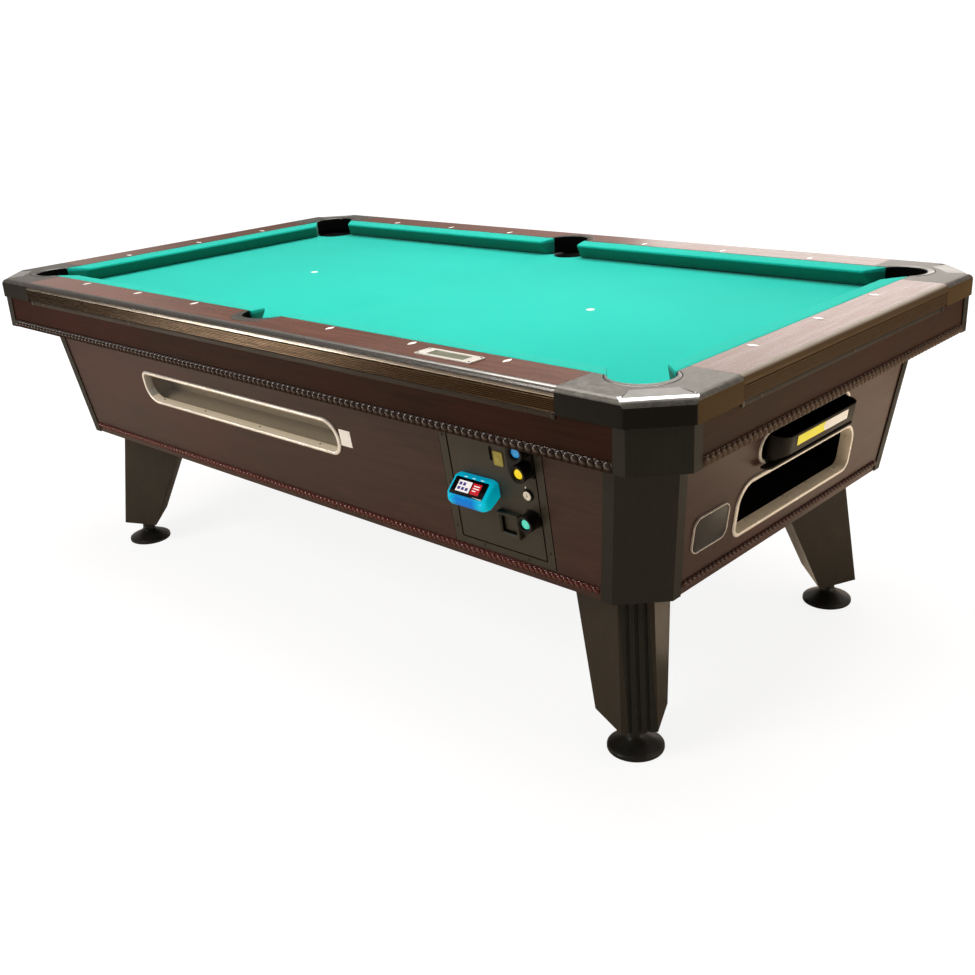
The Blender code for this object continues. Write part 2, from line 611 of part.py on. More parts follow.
# payment terminal: a wedge with a sloping screen face and a lower lip
T0, T1 = 0.5650, 0.6715
tz = up(0.538)
term = [(0.0004, tz - 0.0130), (0.0350, tz - 0.0285), (0.0430, tz - 0.0260), (0.0475, tz - 0.0180), (0.0475, tz - 0.0100),
        (0.0450, tz - 0.0060), (0.0435, tz - 0.0030), (0.0148, tz + 0.0228), (0.0110, tz + 0.0245), (0.0004, tz + 0.0245)]
mesh = plate([(-n, h) for n, h in term], T0, T1)
mesh.transform(Matrix(((0, 0, 1, 0), (0, 1, 0, 0), (-1, 0, 0, 0), (0, 0, 0, 1))))
tidy(mesh)
bm = bmesh.new()
bm.from_mesh(mesh)
bmesh.ops.dissolve_limit(bm, angle_limit=0.01, verts=bm.verts, edges=bm.edges)
ends = [e for e in bm.edges if abs(e.verts[0].co.x - e.verts[1].co.x) < 1e-5 and min(v.co.z for v in e.verts) > 0.001]
bmesh.ops.bevel(bm, geom=ends, offset=0.005, segments=3, affect="EDGES", profile=0.5)
bm.to_mesh(mesh)
bm.free()
piece("pay_terminal", smooth(on_door(tidy(mesh)), 50), CYAN, hinge)

# button barrels on the door, with the caps sliding inside them
BARREL_R, BORE_R, CAP_R = 0.0170, 0.0133, 0.0127
BARREL = 0.0245
y_blue, y_yellow, y_green = (up(BUTTON_Z[k]) for k in ("button_blue", "button_yellow", "button_green"))
upper = piece("button_barrels_upper", on_door(plate(rounded(0.6990, y_yellow - 0.0175, BUTTON_X + 0.0172,
                                                            up(0.6500), (0.003,) * 4), 0.0004, 0.0036)), BLACK, hinge)
lower = piece("button_barrel_lower", on_door(plate(rounded(BUTTON_X - 0.0172, y_green - 0.0172, BUTTON_X + 0.0172,
                                                           y_green + 0.0172, (0.008,) * 4), 0.0004, 0.0036)), BLACK, hinge)
for ob, ys in ((upper, (y_yellow, y_blue)), (lower, (y_green,))):
    for y in ys:
        join(ob, guide(on_door(drum(BUTTON_X, y, 0.0006, BARREL, BARREL_R, 32)), hinge))
    for y in ys:
        cut(ob, guide(on_door(drum(BUTTON_X, y, 0.0045, 0.06, BORE_R, 32)), hinge))


def cap_profile():
    return [(0.0, 0.0262), (0.0070, 0.0258), (0.0108, 0.0247), (CAP_R, 0.0228), (CAP_R, 0.0092), (0.0, 0.0092)]


for name, y, mat in (("button_blue", y_blue, BLUE), ("button_yellow", y_yellow, YELLOW), ("button_green", y_green, GREEN)):
    ob = piece(name, turned(cap_profile()), mat, hinge)
    ob.location = (BUTTON_X - HINGE_X, y, 0.0)
    mod = ob.modifiers.new("turn", "SCREW")
    mod.steps = mod.render_steps = 24
    mod.use_merge_vertices = True
    mod.merge_threshold = 0.00005
    mod.use_smooth_shade = True

# key lock with its cam behind the door (shown unlocked, cam upwards)
lock = piece("door_lock", drum(0, 0, -0.030, 0.0050, 0.0095, 24), STEEL, hinge)
lock.location = (LOCK_X - HINGE_X, lock_y, 0.0)
join(lock, guide(drum(LOCK_X - HINGE_X, lock_y, 0.0004, 0.0030, 0.0118, 24), hinge),
     guide(box(LOCK_X - HINGE_X - 0.006, lock_y - 0.006, -0.0295, LOCK_X - HINGE_X + 0.006, lock_y + 0.030, -0.0270), hinge))
cut(lock, guide(box(LOCK_X - HINGE_X - 0.0009, lock_y - 0.0045, 0.0020, LOCK_X - HINGE_X + 0.0009, lock_y + 0.0045, 0.02), hinge))

# coin return: bezel with a cup behind it and a flap hung at the top
cup = piece("coin_cup", on_door(plate(rounded(CUP_X - 0.0262, cup_y - 0.0252, CUP_X + 0.0262, cup_y + 0.0252, (0.003,) * 4),
                                      0.0004, 0.0120)), BLACK, hinge)
join(cup, guide(on_door(box(CUP_X - 0.0198, cup_y - 0.0198, -0.032, CUP_X + 0.0198, cup_y + 0.0198, 0.006)), hinge))
cut(cup, guide(on_door(box(CUP_X - 0.0180, cup_y - 0.0180, -0.0300, CUP_X + 0.0180, cup_y + 0.0180, 0.05)), hinge))
flap = piece("coin_return_flap", box(-0.0172, -0.0330, -0.0012, 0.0172, 0.0006, 0.0006), PANEL, hinge)
flap.location = (CUP_X - HINGE_X, cup_y + 0.0164, 0.0010)

# cash box on the cabinet floor behind the door
cash = piece("cash_box", box(0.560, -0.440, 0.3885, 0.748, -0.300, 0.470), STEEL)
cut(cash, guide(box(0.562, -0.438, 0.3905, 0.746, -0.302, 0.50)))

# ---------------------------------------------------------------- ball window
trim = piece("ball_window_trim", plate(rounded(*WINDOW, WINDOW_R, 0.0065), 0.0004, 0.0036,
                                       [rounded(*WINDOW, WINDOW_R, -0.0026)]), SILVER, FRONT)
join(trim, guide(plate(rounded(*WINDOW, WINDOW_R, -0.0005), -0.0180, 0.0030, [rounded(*WINDOW, WINDOW_R, -0.0026)]), FRONT))
piece("ball_window_pane", plate(rounded(*WINDOW, WINDOW_R, 0.012), -0.0226, -0.0196), CLEAR, FRONT)
rack_low = WINDOW[1] - 0.0150
rack = [(-0.0232, rack_low), (-0.0232, rack_low + 0.0030), (-0.0945, rack_low + 0.0030), (-0.0945, rack_low + 0.0920),
        (-0.0975, rack_low + 0.0920), (-0.0975, rack_low)]
mesh = plate(rack, -0.600, 0.300)
mesh.transform(Matrix(((0, 0, 1, 0), (0, 1, 0, 0), (1, 0, 0, 0), (0, 0, 0, 1))))
rack_ob = piece("ball_rack", tidy(mesh), BOARD, FRONT)
join(rack_ob, guide(box(-0.600, rack_low + 0.0005, -0.0970, -0.597, rack_low + 0.0900, -0.0240), FRONT))
gate = piece("ball_gate", box(-0.0015, -0.0560, -0.0320, 0.0015, 0.0, 0.0300), STEEL, FRONT)
gate.location = (0.262, rack_low + 0.0640, -0.0590)
rod = drum(0, 0, -0.0345, 0.0340, 0.0035, 16)
rod.transform(Matrix.Translation(gate.location))
join(gate, guide(rod, FRONT))

# ---------------------------------------------------------------- ball return
ret = piece("ball_return", plate(rounded(*RETURN, RETURN_R, 0.0065), 0.0004, 0.0036,
                                 [rounded(*RETURN, RETURN_R, -0.0026)]), SILVER, FOOT)
join(ret, guide(plate(rounded(*RETURN, RETURN_R, -0.0005), -0.1600, 0.0030, [rounded(*RETURN, RETURN_R, -0.0026)]), FOOT),
     guide(plate(rounded(*RETURN, RETURN_R, -0.0008), -0.1620, -0.1585), FOOT))
cut(ret, guide(box(-0.110, RETURN[3] - 0.02, -0.150, 0.110, RETURN[3] + 0.02, -0.070), FOOT))

# cue-ball outlet: rim round the wall opening and a scoop-shaped tray
SCOOP = 0.60                      # rise of the tray floor per unit outwards
tray_low, tray_high = CUE[1] - 0.0022, up(0.6150)
base = piece("cue_ball_tray", plate(rounded(*CUE, CUE_R, 0.0060), 0.0004, 0.0034, [rounded(*CUE, CUE_R, -0.0003)]),
             BLACK, FOOT)


def tray_outline(t):
    """Plan of the tray, seen from above: flat back, rounded front corners."""
    w, d, r = 0.1560 - t, 0.0370 - t, 0.0300 - t
    return [(-w, 0.0)] + arc(-w + r, -d + r, r, 180, 270, 6) + arc(w - r, -d + r, r, 270, 360, 6) + [(w, 0.0)]


def tray_solid(points, h0, h1, n0):
    mesh = plate(points, h0, h1)
    # plan x stays, plan -y runs outwards, plate height runs up the slope
    mesh.transform(Matrix(((1, 0, 0, 0), (0, 0, 1, 0), (0, -1, 0, n0), (0, 0, 0, 1))))
    for v in mesh.vertices:
        if v.co.y < (h0 + h1) / 2:
            v.co.y += SCOOP * max(0.0, v.co.z - 0.0034)
    return tidy(mesh)


join(base, guide(tray_solid(tray_outline(0.0), tray_low, tray_high, 0.0010), FOOT))
cut(base, guide(tray_solid(tray_outline(0.0030), CUE[1] + 0.0008, tray_high + 0.05, 0.0010), FOOT),
    guide(plate(rounded(-0.1530, CUE[1] + 0.0008, 0.1530, CUE[3] - 0.0003, (0.003, 0.003, 0.022, 0.022)), -0.01, 0.0036), FOOT))

# ---------------------------------------------------- counter plate on the rail
counter = piece("rail_counter", plate(rounded(0.5420, -0.6035, 0.6830, -0.5605, (0.003,) * 4), RAIL_TOP + 0.0003,
                                      RAIL_TOP + 0.0026, [rect(0.5700, -0.5940, 0.6550, -0.5700)]), SILVER)
join(counter, guide(box(0.5690, -0.5950, RAIL_TOP + 0.0003, 0.6560, -0.5690, RAIL_TOP + 0.0012)))
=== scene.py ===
import json
import math

import bmesh
import bpy
from mathutils import Matrix, Vector

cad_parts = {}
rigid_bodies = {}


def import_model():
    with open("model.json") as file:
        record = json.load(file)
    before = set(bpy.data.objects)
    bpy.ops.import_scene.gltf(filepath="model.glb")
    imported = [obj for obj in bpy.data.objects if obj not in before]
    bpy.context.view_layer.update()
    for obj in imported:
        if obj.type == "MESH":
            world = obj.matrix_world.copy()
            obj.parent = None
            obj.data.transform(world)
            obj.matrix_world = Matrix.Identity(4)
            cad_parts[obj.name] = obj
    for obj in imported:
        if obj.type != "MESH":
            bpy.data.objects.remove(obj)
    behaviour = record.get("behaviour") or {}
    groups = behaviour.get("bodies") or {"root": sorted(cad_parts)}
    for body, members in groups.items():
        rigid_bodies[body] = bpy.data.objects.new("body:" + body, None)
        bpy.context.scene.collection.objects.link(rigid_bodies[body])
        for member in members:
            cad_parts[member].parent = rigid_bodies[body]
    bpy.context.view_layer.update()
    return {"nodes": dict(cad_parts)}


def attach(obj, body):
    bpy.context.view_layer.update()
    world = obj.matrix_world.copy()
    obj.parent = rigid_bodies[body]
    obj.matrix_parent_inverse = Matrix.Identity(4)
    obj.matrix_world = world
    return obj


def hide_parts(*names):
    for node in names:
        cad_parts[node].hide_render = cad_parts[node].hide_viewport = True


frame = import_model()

NODES = frame["nodes"]

# ------------------------------------------------------------------ dimensions
# The same numbers as the construction, in metres.
LENGTH, WIDTH = 2.235, 1.265
LX, LY = LENGTH / 2, WIDTH / 2
RAIL_TOP, RAIL_EDGE, TRIM_T = 0.808, 0.796, 0.012
FIELD_L, FIELD_W = 1.932, 0.966
NX, NY = FIELD_L / 2, FIELD_W / 2
CUSHION, RAIL_IN = 0.0467, 0.0473
CASTING, CORNER_CUT = 0.220, 0.083
APRON_X, APRON_Y = 1.1095, 0.6245
WALL_LOW, WALL_X, WALL_Y = 0.365, 0.9882, 0.5008
LEAN = math.radians(7.8)
SIN_A, COS_A = math.sin(LEAN), math.cos(LEAN)
S2 = math.sqrt(0.5)
CORNERS = (("near_foot", 1, -1), ("near_head", -1, -1), ("far_foot", 1, 1), ("far_head", -1, 1))


def up(z):
    return (z - WALL_LOW) / COS_A


DOOR = (0.5440, up(0.4135), 0.7630, up(0.6510))
WINDOW, WINDOW_R = (-0.552, up(0.5205), 0.202, up(0.5935)), (0.040, 0.024, 0.042, 0.016)
RETURN, RETURN_R = (-0.233, up(0.4255), 0.233, up(0.5315)), (0.020, 0.020, 0.045, 0.045)
CUE = (-0.178, up(0.5605), 0.178, up(0.6205))
CUE_R = ((CUE[3] - CUE[1]) / 2 - 0.0001,) * 4
BUTTON_X = 0.7450
LOCK_X, LOCK_Z = 0.740, 0.549
CUP_X, CUP_Z = 0.6865, 0.4755


def wall(turn, half):
    """Frame on a leaning wall: x along, y up the slope, z outwards."""
    return (Matrix.Rotation(turn, 4, "Z") @ Matrix.Translation((0, -half, WALL_LOW))
            @ Matrix.Rotation(math.pi / 2 + LEAN, 4, "X"))


def upright(turn, half):
    """Frame on a vertical face: x along, y is the height, z outwards."""
    return Matrix.Rotation(turn, 4, "Z") @ Matrix.Translation((0, -half, 0)) @ Matrix.Rotation(math.pi / 2, 4, "X")


FRONT, REAR = wall(0.0, WALL_Y), wall(math.pi, WALL_Y)
FOOT, HEAD = wall(math.pi / 2, WALL_X), wall(-math.pi / 2, WALL_X)
A_FRONT, A_REAR = upright(0.0, APRON_Y), upright(math.pi, APRON_Y)
A_FOOT, A_HEAD = upright(math.pi / 2, APRON_X), upright(-math.pi / 2, APRON_X)


# -------------------------------------------------------------------- materials
class Mat:
    """A Principled material with procedural inputs in object space."""

    def __init__(self, name, base=(0.5, 0.5, 0.5), rough=0.5, metal=0.0, spec=0.5, **more):
        self.m = bpy.data.materials.new(name)
        self.m.use_nodes = True
        self.nt = self.m.node_tree
        self.b = self.nt.nodes["Principled BSDF"]
        self.b.inputs["Base Color"].default_value = (*base, 1)
        self.b.inputs["Roughness"].default_value = rough
        self.b.inputs["Metallic"].default_value = metal
        self.b.inputs["Specular IOR Level"].default_value = spec
        for k, v in more.items():
            self.b.inputs[k.replace("_", " ")].default_value = v
        self.m.diffuse_color = (*base, 1)

    def node(self, kind, **props):
        n = self.nt.nodes.new(kind)
        for k, v in props.items():
            setattr(n, k, v)
        return n

    def coords(self, scale=(1, 1, 1), rot=(0, 0, 0), loc=(0, 0, 0)):
        tc = self.node("ShaderNodeTexCoord")
        mp = self.node("ShaderNodeMapping")
        mp.inputs["Scale"].default_value = scale
        mp.inputs["Rotation"].default_value = rot
        mp.inputs["Location"].default_value = loc
        self.nt.links.new(tc.outputs["Object"], mp.inputs["Vector"])
        return mp.outputs["Vector"]

    def noise(self, vec, scale=5.0, detail=4.0, rough=0.55, dist=0.0):
        n = self.node("ShaderNodeTexNoise")
        n.inputs["Scale"].default_value = scale
        n.inputs["Detail"].default_value = detail
        n.inputs["Roughness"].default_value = rough
        n.inputs["Distortion"].default_value = dist
        self.nt.links.new(vec, n.inputs["Vector"])
        return n.outputs["Fac"]

    def voronoi(self, vec, scale=5.0, feature="F1"):
        n = self.node("ShaderNodeTexVoronoi", feature=feature)
        n.inputs["Scale"].default_value = scale
        self.nt.links.new(vec, n.inputs["Vector"])
        return n.outputs["Distance"]

    def wave(self, vec, scale, direction="X", dist=0.0, detail=2.0):
        n = self.node("ShaderNodeTexWave", bands_direction=direction)
        n.inputs["Scale"].default_value = scale
        n.inputs["Distortion"].default_value = dist
        n.inputs["Detail"].default_value = detail
        self.nt.links.new(vec, n.inputs["Vector"])
        return n.outputs["Fac"]

    def axis(self, which, scale=(1, 1, 1)):
        s = self.node("ShaderNodeSeparateXYZ")
        self.nt.links.new(self.coords(scale), s.inputs[0])
        return s.outputs[which]

    def span(self, value, lo, hi, a=0.0, b=1.0):
        n = self.node("ShaderNodeMapRange")
        n.inputs["From Min"].default_value = lo
        n.inputs["From Max"].default_value = hi
        n.inputs["To Min"].default_value = a
        n.inputs["To Max"].default_value = b
        self.nt.links.new(value, n.inputs["Value"])
        return n.outputs["Result"]

    def ramp(self, fac, stops, interp="LINEAR"):
        n = self.node("ShaderNodeValToRGB")
        cr = n.color_ramp
        cr.interpolation = interp
        while len(cr.elements) < len(stops):
            cr.elements.new(0.5)
        for e, (p, c) in zip(cr.elements, stops):
            e.position = p
            e.color = (*c, 1) if len(c) == 3 else c
        self.nt.links.new(fac, n.inputs["Fac"])
        return n.outputs["Color"]

    def mix(self, fac, a, b, blend="MIX", amount=None):
        n = self.node("ShaderNodeMix", data_type="RGBA", blend_type=blend)
        if amount is not None:
            n.inputs[0].default_value = amount
        else:
            self.nt.links.new(fac, n.inputs[0])
        for sock, value in ((n.inputs[6], a), (n.inputs[7], b)):
            if isinstance(value, tuple):
                sock.default_value = (*value, 1)
            else:
                self.nt.links.new(value, sock)
        return n.outputs[2]

    def math(self, op, a, b):
        n = self.node("ShaderNodeMath", operation=op)
        for sock, value in ((n.inputs[0], a), (n.inputs[1], b)):
            if isinstance(value, (int, float)):
                sock.default_value = value
            else:
                self.nt.links.new(value, sock)
        return n.outputs[0]

    def colour(self, socket):
        self.nt.links.new(socket, self.b.inputs["Base Color"])
        return self

    def roughness(self, socket, lo, hi):
        self.nt.links.new(self.span(socket, 0.25, 0.75, lo, hi), self.b.inputs["Roughness"])
        return self

    def bump(self, height, strength=0.2, distance=0.001):
        n = self.node("ShaderNodeBump")
        n.inputs["Strength"].default_value = strength
        n.inputs["Distance"].default_value = distance
        self.nt.links.new(height, n.inputs["Height"])
        self.nt.links.new(n.outputs["Normal"], self.b.inputs["Normal"])
        return self


def laminate(name, along, dark, mid, light, red, rough=(0.28, 0.40), spec=0.5, relief=0.10):
    """Mahogany laminate: long streaks, fine pores and a few redder patches."""
    k = Mat(name, mid, rough[0], spec=spec)
    flat = {"x": (1.0, 13.0, 13.0), "y": (13.0, 1.0, 13.0), "z": (13.0, 13.0, 1.0)}[along]
    fine = {"x": (5.0, 190.0, 190.0), "y": (190.0, 5.0, 190.0), "z": (190.0, 190.0, 5.0)}[along]
    streak = k.noise(k.coords(flat), 5.5, 6.0, 0.62, 0.35)
    pore = k.noise(k.coords(fine), 3.0, 3.0, 0.6)
    patch = k.noise(k.coords((1, 1, 1), loc=(3.1, 1.7, 0.4)), 2.3, 2.0, 0.5)
    tone = k.ramp(streak, [(0.22, dark), (0.50, mid), (0.80, light)])
    tone = k.mix(k.span(patch, 0.46, 0.72, 0.0, 0.55), tone, red)
    tone = k.mix(k.span(pore, 0.30, 0.60, 0.50, 0.0), tone, dark, "MIX")
    k.colour(tone).roughness(streak, *rough)
    k.bump(pore, relief, 0.0004)
    return k.m


LAM_X = laminate("laminate_long", "x", (0.0170, 0.0070, 0.0048), (0.036, 0.0140, 0.0090), (0.058, 0.0245, 0.0155), (0.074, 0.0130, 0.0100), (0.32, 0.44), 0.36)
LAM_Y = laminate("laminate_end", "y", (0.0210, 0.0085, 0.0055), (0.046, 0.0170, 0.0105), (0.070, 0.0280, 0.0175), (0.094, 0.0158, 0.0120), (0.27, 0.38), 0.34)
APRON_TONES = ((0.0190, 0.0076, 0.0028), (0.039, 0.0148, 0.0054), (0.062, 0.0255, 0.0100), (0.076, 0.0130, 0.0070), (0.38, 0.50), 0.15)
# painted shade: the long-side apron tones are darker than the end apron's, standing in for the lesser light on the long
# sides
APRON_MX_SHADED = laminate("apron_laminate_long", "x", (0.0125, 0.0052, 0.0026), (0.0255, 0.0098, 0.0050), (0.041, 0.0168, 0.0090), (0.056, 0.0094, 0.0062), (0.46, 0.58), 0.08)
APRON_MY = laminate("apron_laminate_end", "y", *APRON_TONES)
RAIL_TONES = ((0.074, 0.023, 0.0128), (0.112, 0.0385, 0.0215), (0.150, 0.057, 0.0330), (0.160, 0.036, 0.0220), (0.22, 0.32), 0.50, 0.025)
RAIL_MX = laminate("rail_laminate_long", "x", *RAIL_TONES)
RAIL_MY = laminate("rail_laminate_end", "y", *RAIL_TONES)


def cloth_material(name, a, b, sheen=0.12, under=None):
    """Worsted cloth: plain weave about a millimetre apart, with slight pilling and traffic marks; with under given,
    painted shade on the face below the cushion nose.
    """
    k = Mat(name, a, 0.92, spec=0.15, Sheen_Weight=sheen, Sheen_Roughness=0.45)
    k.b.inputs["Sheen Tint"].default_value = (0.55, 1.0, 0.92, 1)
    weave_x = k.wave(k.coords(), 480.0, "X", 0.6, 1.0)
    weave_y = k.wave(k.coords(), 480.0, "Y", 0.6, 1.0)
    weave = k.math("MULTIPLY", weave_x, weave_y)
    broad = k.noise(k.coords((0.6, 1, 1)), 3.2, 4.0, 0.5)
    fuzz = k.noise(k.coords(), 900.0, 2.0, 0.6)
    tone = k.ramp(broad, [(0.30, a), (0.72, b)])
    tone = k.mix(k.span(fuzz, 0.35, 0.70, 0.0, 0.20), tone, tuple(c * 0.72 for c in a))
    if under:
        # painted shade: the face under the nose is painted darker, standing in for the shade under the overhang
        tone = k.mix(k.span(k.axis(2), 0.7965, 0.8015, 0.0, 1.0), under, tone)
    k.colour(tone)
    k.bump(k.math("ADD", weave, fuzz), 0.16, 0.0006)
    return k.m


CLOTH = cloth_material("bed_cloth_green", (0.0075, 0.430, 0.352), (0.0100, 0.470, 0.388))
# the under colour is painted shade for the face below the nose
CLOTH_C = cloth_material("cushion_cloth_green", (0.0072, 0.410, 0.332), (0.0092, 0.450, 0.368), under=(0.0014, 0.150, 0.104))


def cast_top():
    """Sand-cast metal, lightly brushed: mottled, with fine pits."""
    k = Mat("casting_top", (0.20, 0.19, 0.17), 0.42, 0.75)
    mottle = k.noise(k.coords(), 70.0, 5.0, 0.65, 0.3)
    pits = k.voronoi(k.coords(), 620.0)
    scratch = k.noise(k.coords((14, 90, 20)), 6.0, 3.0, 0.6)
    tone = k.ramp(mottle, [(0.28, (0.090, 0.086, 0.077)), (0.52, (0.145, 0.139, 0.125)), (0.78, (0.225, 0.216, 0.196))])
    tone = k.mix(k.span(scratch, 0.55, 0.75, 0.0, 0.35), tone, (0.29, 0.28, 0.255))
    k.colour(tone).roughness(mottle, 0.36, 0.52)
    k.bump(k.math("ADD", mottle, pits), 0.22, 0.0006)
    return k.m


def polished(name, base, rough, amount=0.03):
    """Buffed metal with faint hairlines and handling marks."""
    k = Mat(name, base, rough, 1.0)
    hair = k.noise(k.coords((160, 160, 18)), 6.0, 3.0, 0.6)
    mark = k.noise(k.coords(), 34.0, 4.0, 0.6)
    k.colour(k.mix(k.span(mark, 0.40, 0.80, 0.0, 0.4), base, tuple(c * 0.72 for c in base)))
    k.roughness(mark, rough * 0.75, rough * 1.6)
    k.bump(hair, amount, 0.0003)
    return k.m


CAST_TOP = cast_top()
POLISHED = polished("polished_alloy", (0.72, 0.715, 0.70), 0.13)
RING_ALLOY = polished("pocket_ring_alloy", (0.175, 0.171, 0.162), 0.28)


def satin(name, base, metal, rough=0.36):
    """Brushed or painted sleeve: soft lengthwise streaks."""
    k = Mat(name, base, rough, metal)
    streak = k.noise(k.coords((26, 26, 26)), 1.6, 3.0, 0.5)
    k.colour(k.ramp(streak, [(0.30, tuple(c * 0.84 for c in base)), (0.72, base)])).roughness(streak, rough * 0.85, rough * 1.2)
    k.bump(k.noise(k.coords((30, 30, 300)), 4.0, 2.0, 0.5), 0.03, 0.0002)
    return k.m


SATIN = satin("window_sleeve_alloy", (0.56, 0.54, 0.49), 0.30)
SLEEVE = satin("return_sleeve_satin", (0.95, 0.84, 0.67), 0.10, 0.30)
BRIGHT = satin("bright_trim_alloy", (1.0, 0.955, 0.87), 0.32, 0.24)
FACET = satin("casting_facet_alloy", (0.26, 0.257, 0.245), 0.40, 0.34)
STEEL = polished("plated_steel_finish", (0.62, 0.60, 0.57), 0.26)


def dark_shell(name, base, light, rough=(0.34, 0.50), streak=True, spec=0.45):
    """Dark moulded or painted shell with upright drawing lines and rubbed patches."""
    k = Mat(name, base, rough[0], spec=spec)
    line = k.noise(k.coords((120, 120, 2.2) if streak else (60, 60, 60)), 3.0, 4.0, 0.62)
    cloud = k.noise(k.coords(), 9.0, 4.0, 0.55)
    grit = k.noise(k.coords(), 1100.0, 2.0, 0.5)
    tone = k.ramp(line, [(0.30, base), (0.72, light)])
    tone = k.mix(k.span(cloud, 0.50, 0.80, 0.0, 0.35), tone, tuple(c * 1.7 for c in light))
    k.colour(tone).roughness(cloud, *rough)
    k.bump(k.math("ADD", line, grit), 0.10, 0.0004)
    return k.m


CAST_BLACK = dark_shell("casting_black_paint", (0.0042, 0.0038, 0.0026), (0.0062, 0.0056, 0.0038), (0.40, 0.54), True, 0.20)
RIM_DARK = dark_shell("side_rim_grey", (0.026, 0.024, 0.0205), (0.040, 0.037, 0.032), (0.28, 0.40), False)
COVER = dark_shell("corner_cover_black", (0.0088, 0.0094, 0.0070), (0.0138, 0.0144, 0.0106), (0.40, 0.54), True, 0.32)
LEG = dark_shell("leg_laminate_dark", (0.0230, 0.0180, 0.0118), (0.0350, 0.0275, 0.0185), (0.38, 0.52), True, 0.28)
BLACK = dark_shell("black_plastic_satin", (0.0052, 0.0050, 0.0046), (0.0085, 0.0082, 0.0075), (0.26, 0.40), False)
RUBBER = dark_shell("pocket_rubber", (0.0022, 0.0022, 0.0021), (0.0040, 0.0040, 0.0038), (0.60, 0.80), False, 0.2)
SCOOP_BLACK = dark_shell("scoop_black", (0.0085, 0.0074, 0.0048), (0.0130, 0.0114, 0.0076), (0.36, 0.48), False, 0.22)
LEVEL = dark_shell("leveller_rubber_dark", (0.0085, 0.0078, 0.0060), (0.0140, 0.0125, 0.0095), (0.28, 0.42), False)
PANEL = dark_shell("panel_paint", (0.0270, 0.0238, 0.0155), (0.0345, 0.0305, 0.0200), (0.40, 0.54), False)
BARREL_BLACK = dark_shell("barrel_black", (0.0018, 0.0017, 0.0015), (0.0032, 0.0030, 0.0026), (0.40, 0.55), False, 0.28)
VOID = dark_shell("unlit_liner", (0.0010, 0.0010, 0.0010), (0.0016, 0.0016, 0.0015), (0.85, 0.95), False, 0.05)


def trim_bands():
    """Extruded edge trim: grey rounded edge, a pale line that is a painted highlight, black groove, bronze ribs below
    with painted shade in the grooves between them.
    """
    k = Mat("edge_trim_bands", (0.2, 0.15, 0.1), 0.32, 1.0)
    z = k.axis(2)
    f = k.span(z, 0.762, 0.810)

    def at(h):
        return (h - 0.762) / 0.048

    bronze, deep = (0.092, 0.060, 0.035), (0.048, 0.031, 0.018)
    stops = [(0.0, deep)]
    # painted shade: a darker stop in each groove between the ribs
    for i in range(7):
        top = 0.7874 - i * 0.0033
        stops += [(at(top - 0.0029), (0.041, 0.027, 0.016)), (at(top - 0.0020), bronze)]
    stops = sorted(stops)
    # painted highlight: the pale line under the grey rounded edge stands in for a reflection
    stops += [(at(0.7876), bronze), (at(0.7882), (0.012, 0.010, 0.008)), (at(0.7900), (0.012, 0.010, 0.008)),
              (at(0.7906), (0.56, 0.51, 0.44)), (at(0.7922), (0.54, 0.49, 0.42)), (at(0.7930), (0.25, 0.24, 0.228)),
              (at(0.8090), (0.28, 0.27, 0.257))]
    tone = k.ramp(f, stops)
    rub = k.noise(k.coords((3, 3, 60)), 5.0, 4.0, 0.6)
    tone = k.mix(k.span(rub, 0.45, 0.80, 0.0, 0.45), tone, (0.060, 0.045, 0.030), "MIX")
    k.colour(tone).roughness(rub, 0.20, 0.34)
    k.bump(k.noise(k.coords((4, 4, 400)), 4.0, 2.0, 0.5), 0.05, 0.0003)
    return k.m


TRIM = trim_bands()


def trim_end():
    """The same trim on the short sides, recoloured as painted warm light: an even bronze with a tan-grey upper edge,
    and painted shade in the rib grooves.
    """
    k = Mat("edge_trim_end", (0.080, 0.045, 0.014), 0.40, 0.25, 0.24)
    f = k.span(k.axis(2), 0.762, 0.810)

    def at(h):
        return (h - 0.762) / 0.048

    stops = [(0.0, (0.076, 0.0425, 0.0130))]
    # painted shade: each rib groove a little darker
    for i in range(7):
        top = 0.7874 - i * 0.0033
        stops += [(at(top - 0.0029), (0.080, 0.0445, 0.0132)), (at(top - 0.0020), (0.100, 0.0560, 0.0168))]
    stops = sorted(stops) + [(at(0.8024), (0.094, 0.0535, 0.0170)), (at(0.8052), (0.33, 0.285, 0.240)), (at(0.8090), (0.37, 0.325, 0.280))]
    rub = k.noise(k.coords((3, 3, 60)), 5.0, 4.0, 0.6)
    tone = k.mix(k.span(rub, 0.45, 0.80, 0.0, 0.25), k.ramp(f, stops), (0.062, 0.038, 0.0140), "MIX")
    k.colour(tone).roughness(rub, 0.34, 0.46)
    k.bump(k.noise(k.coords((4, 4, 400)), 4.0, 2.0, 0.5), 0.05, 0.0003)
    return k.m


TRIM_END = trim_end()
# painted light: the casting's outer faces on the short sides get a warm bronze in place of the black paint of its other
# faces, standing in for the warm light on the ends
CAST_END_LIT = dark_shell("casting_bronze_paint", (0.078, 0.0440, 0.0130), (0.095, 0.0545, 0.0165), (0.40, 0.54), False, 0.12)


def rope_material(name, base, light, rough, coat=0.9, gloss=0.07, line=None, spec=0.25):
    k = Mat(name, base, rough, spec=spec, Coat_Weight=coat, Coat_Roughness=gloss, Coat_IOR=1.9)
    grain = k.noise(k.coords((60, 60, 60)), 5.0, 4.0, 0.6)
    k.colour(k.ramp(grain, [(0.3, base), (0.75, light)])).roughness(grain, rough * 0.8, rough * 1.35)
    k.bump(grain, 0.04, 0.0003)
    if line:
        # hands and cloths polish the upper side of the strands, the lower side stays dull
        k.nt.links.new(k.span(k.axis(2), line - 0.0050, line + 0.0005, 0.08, coat), k.b.inputs["Coat Weight"])
    return k.m


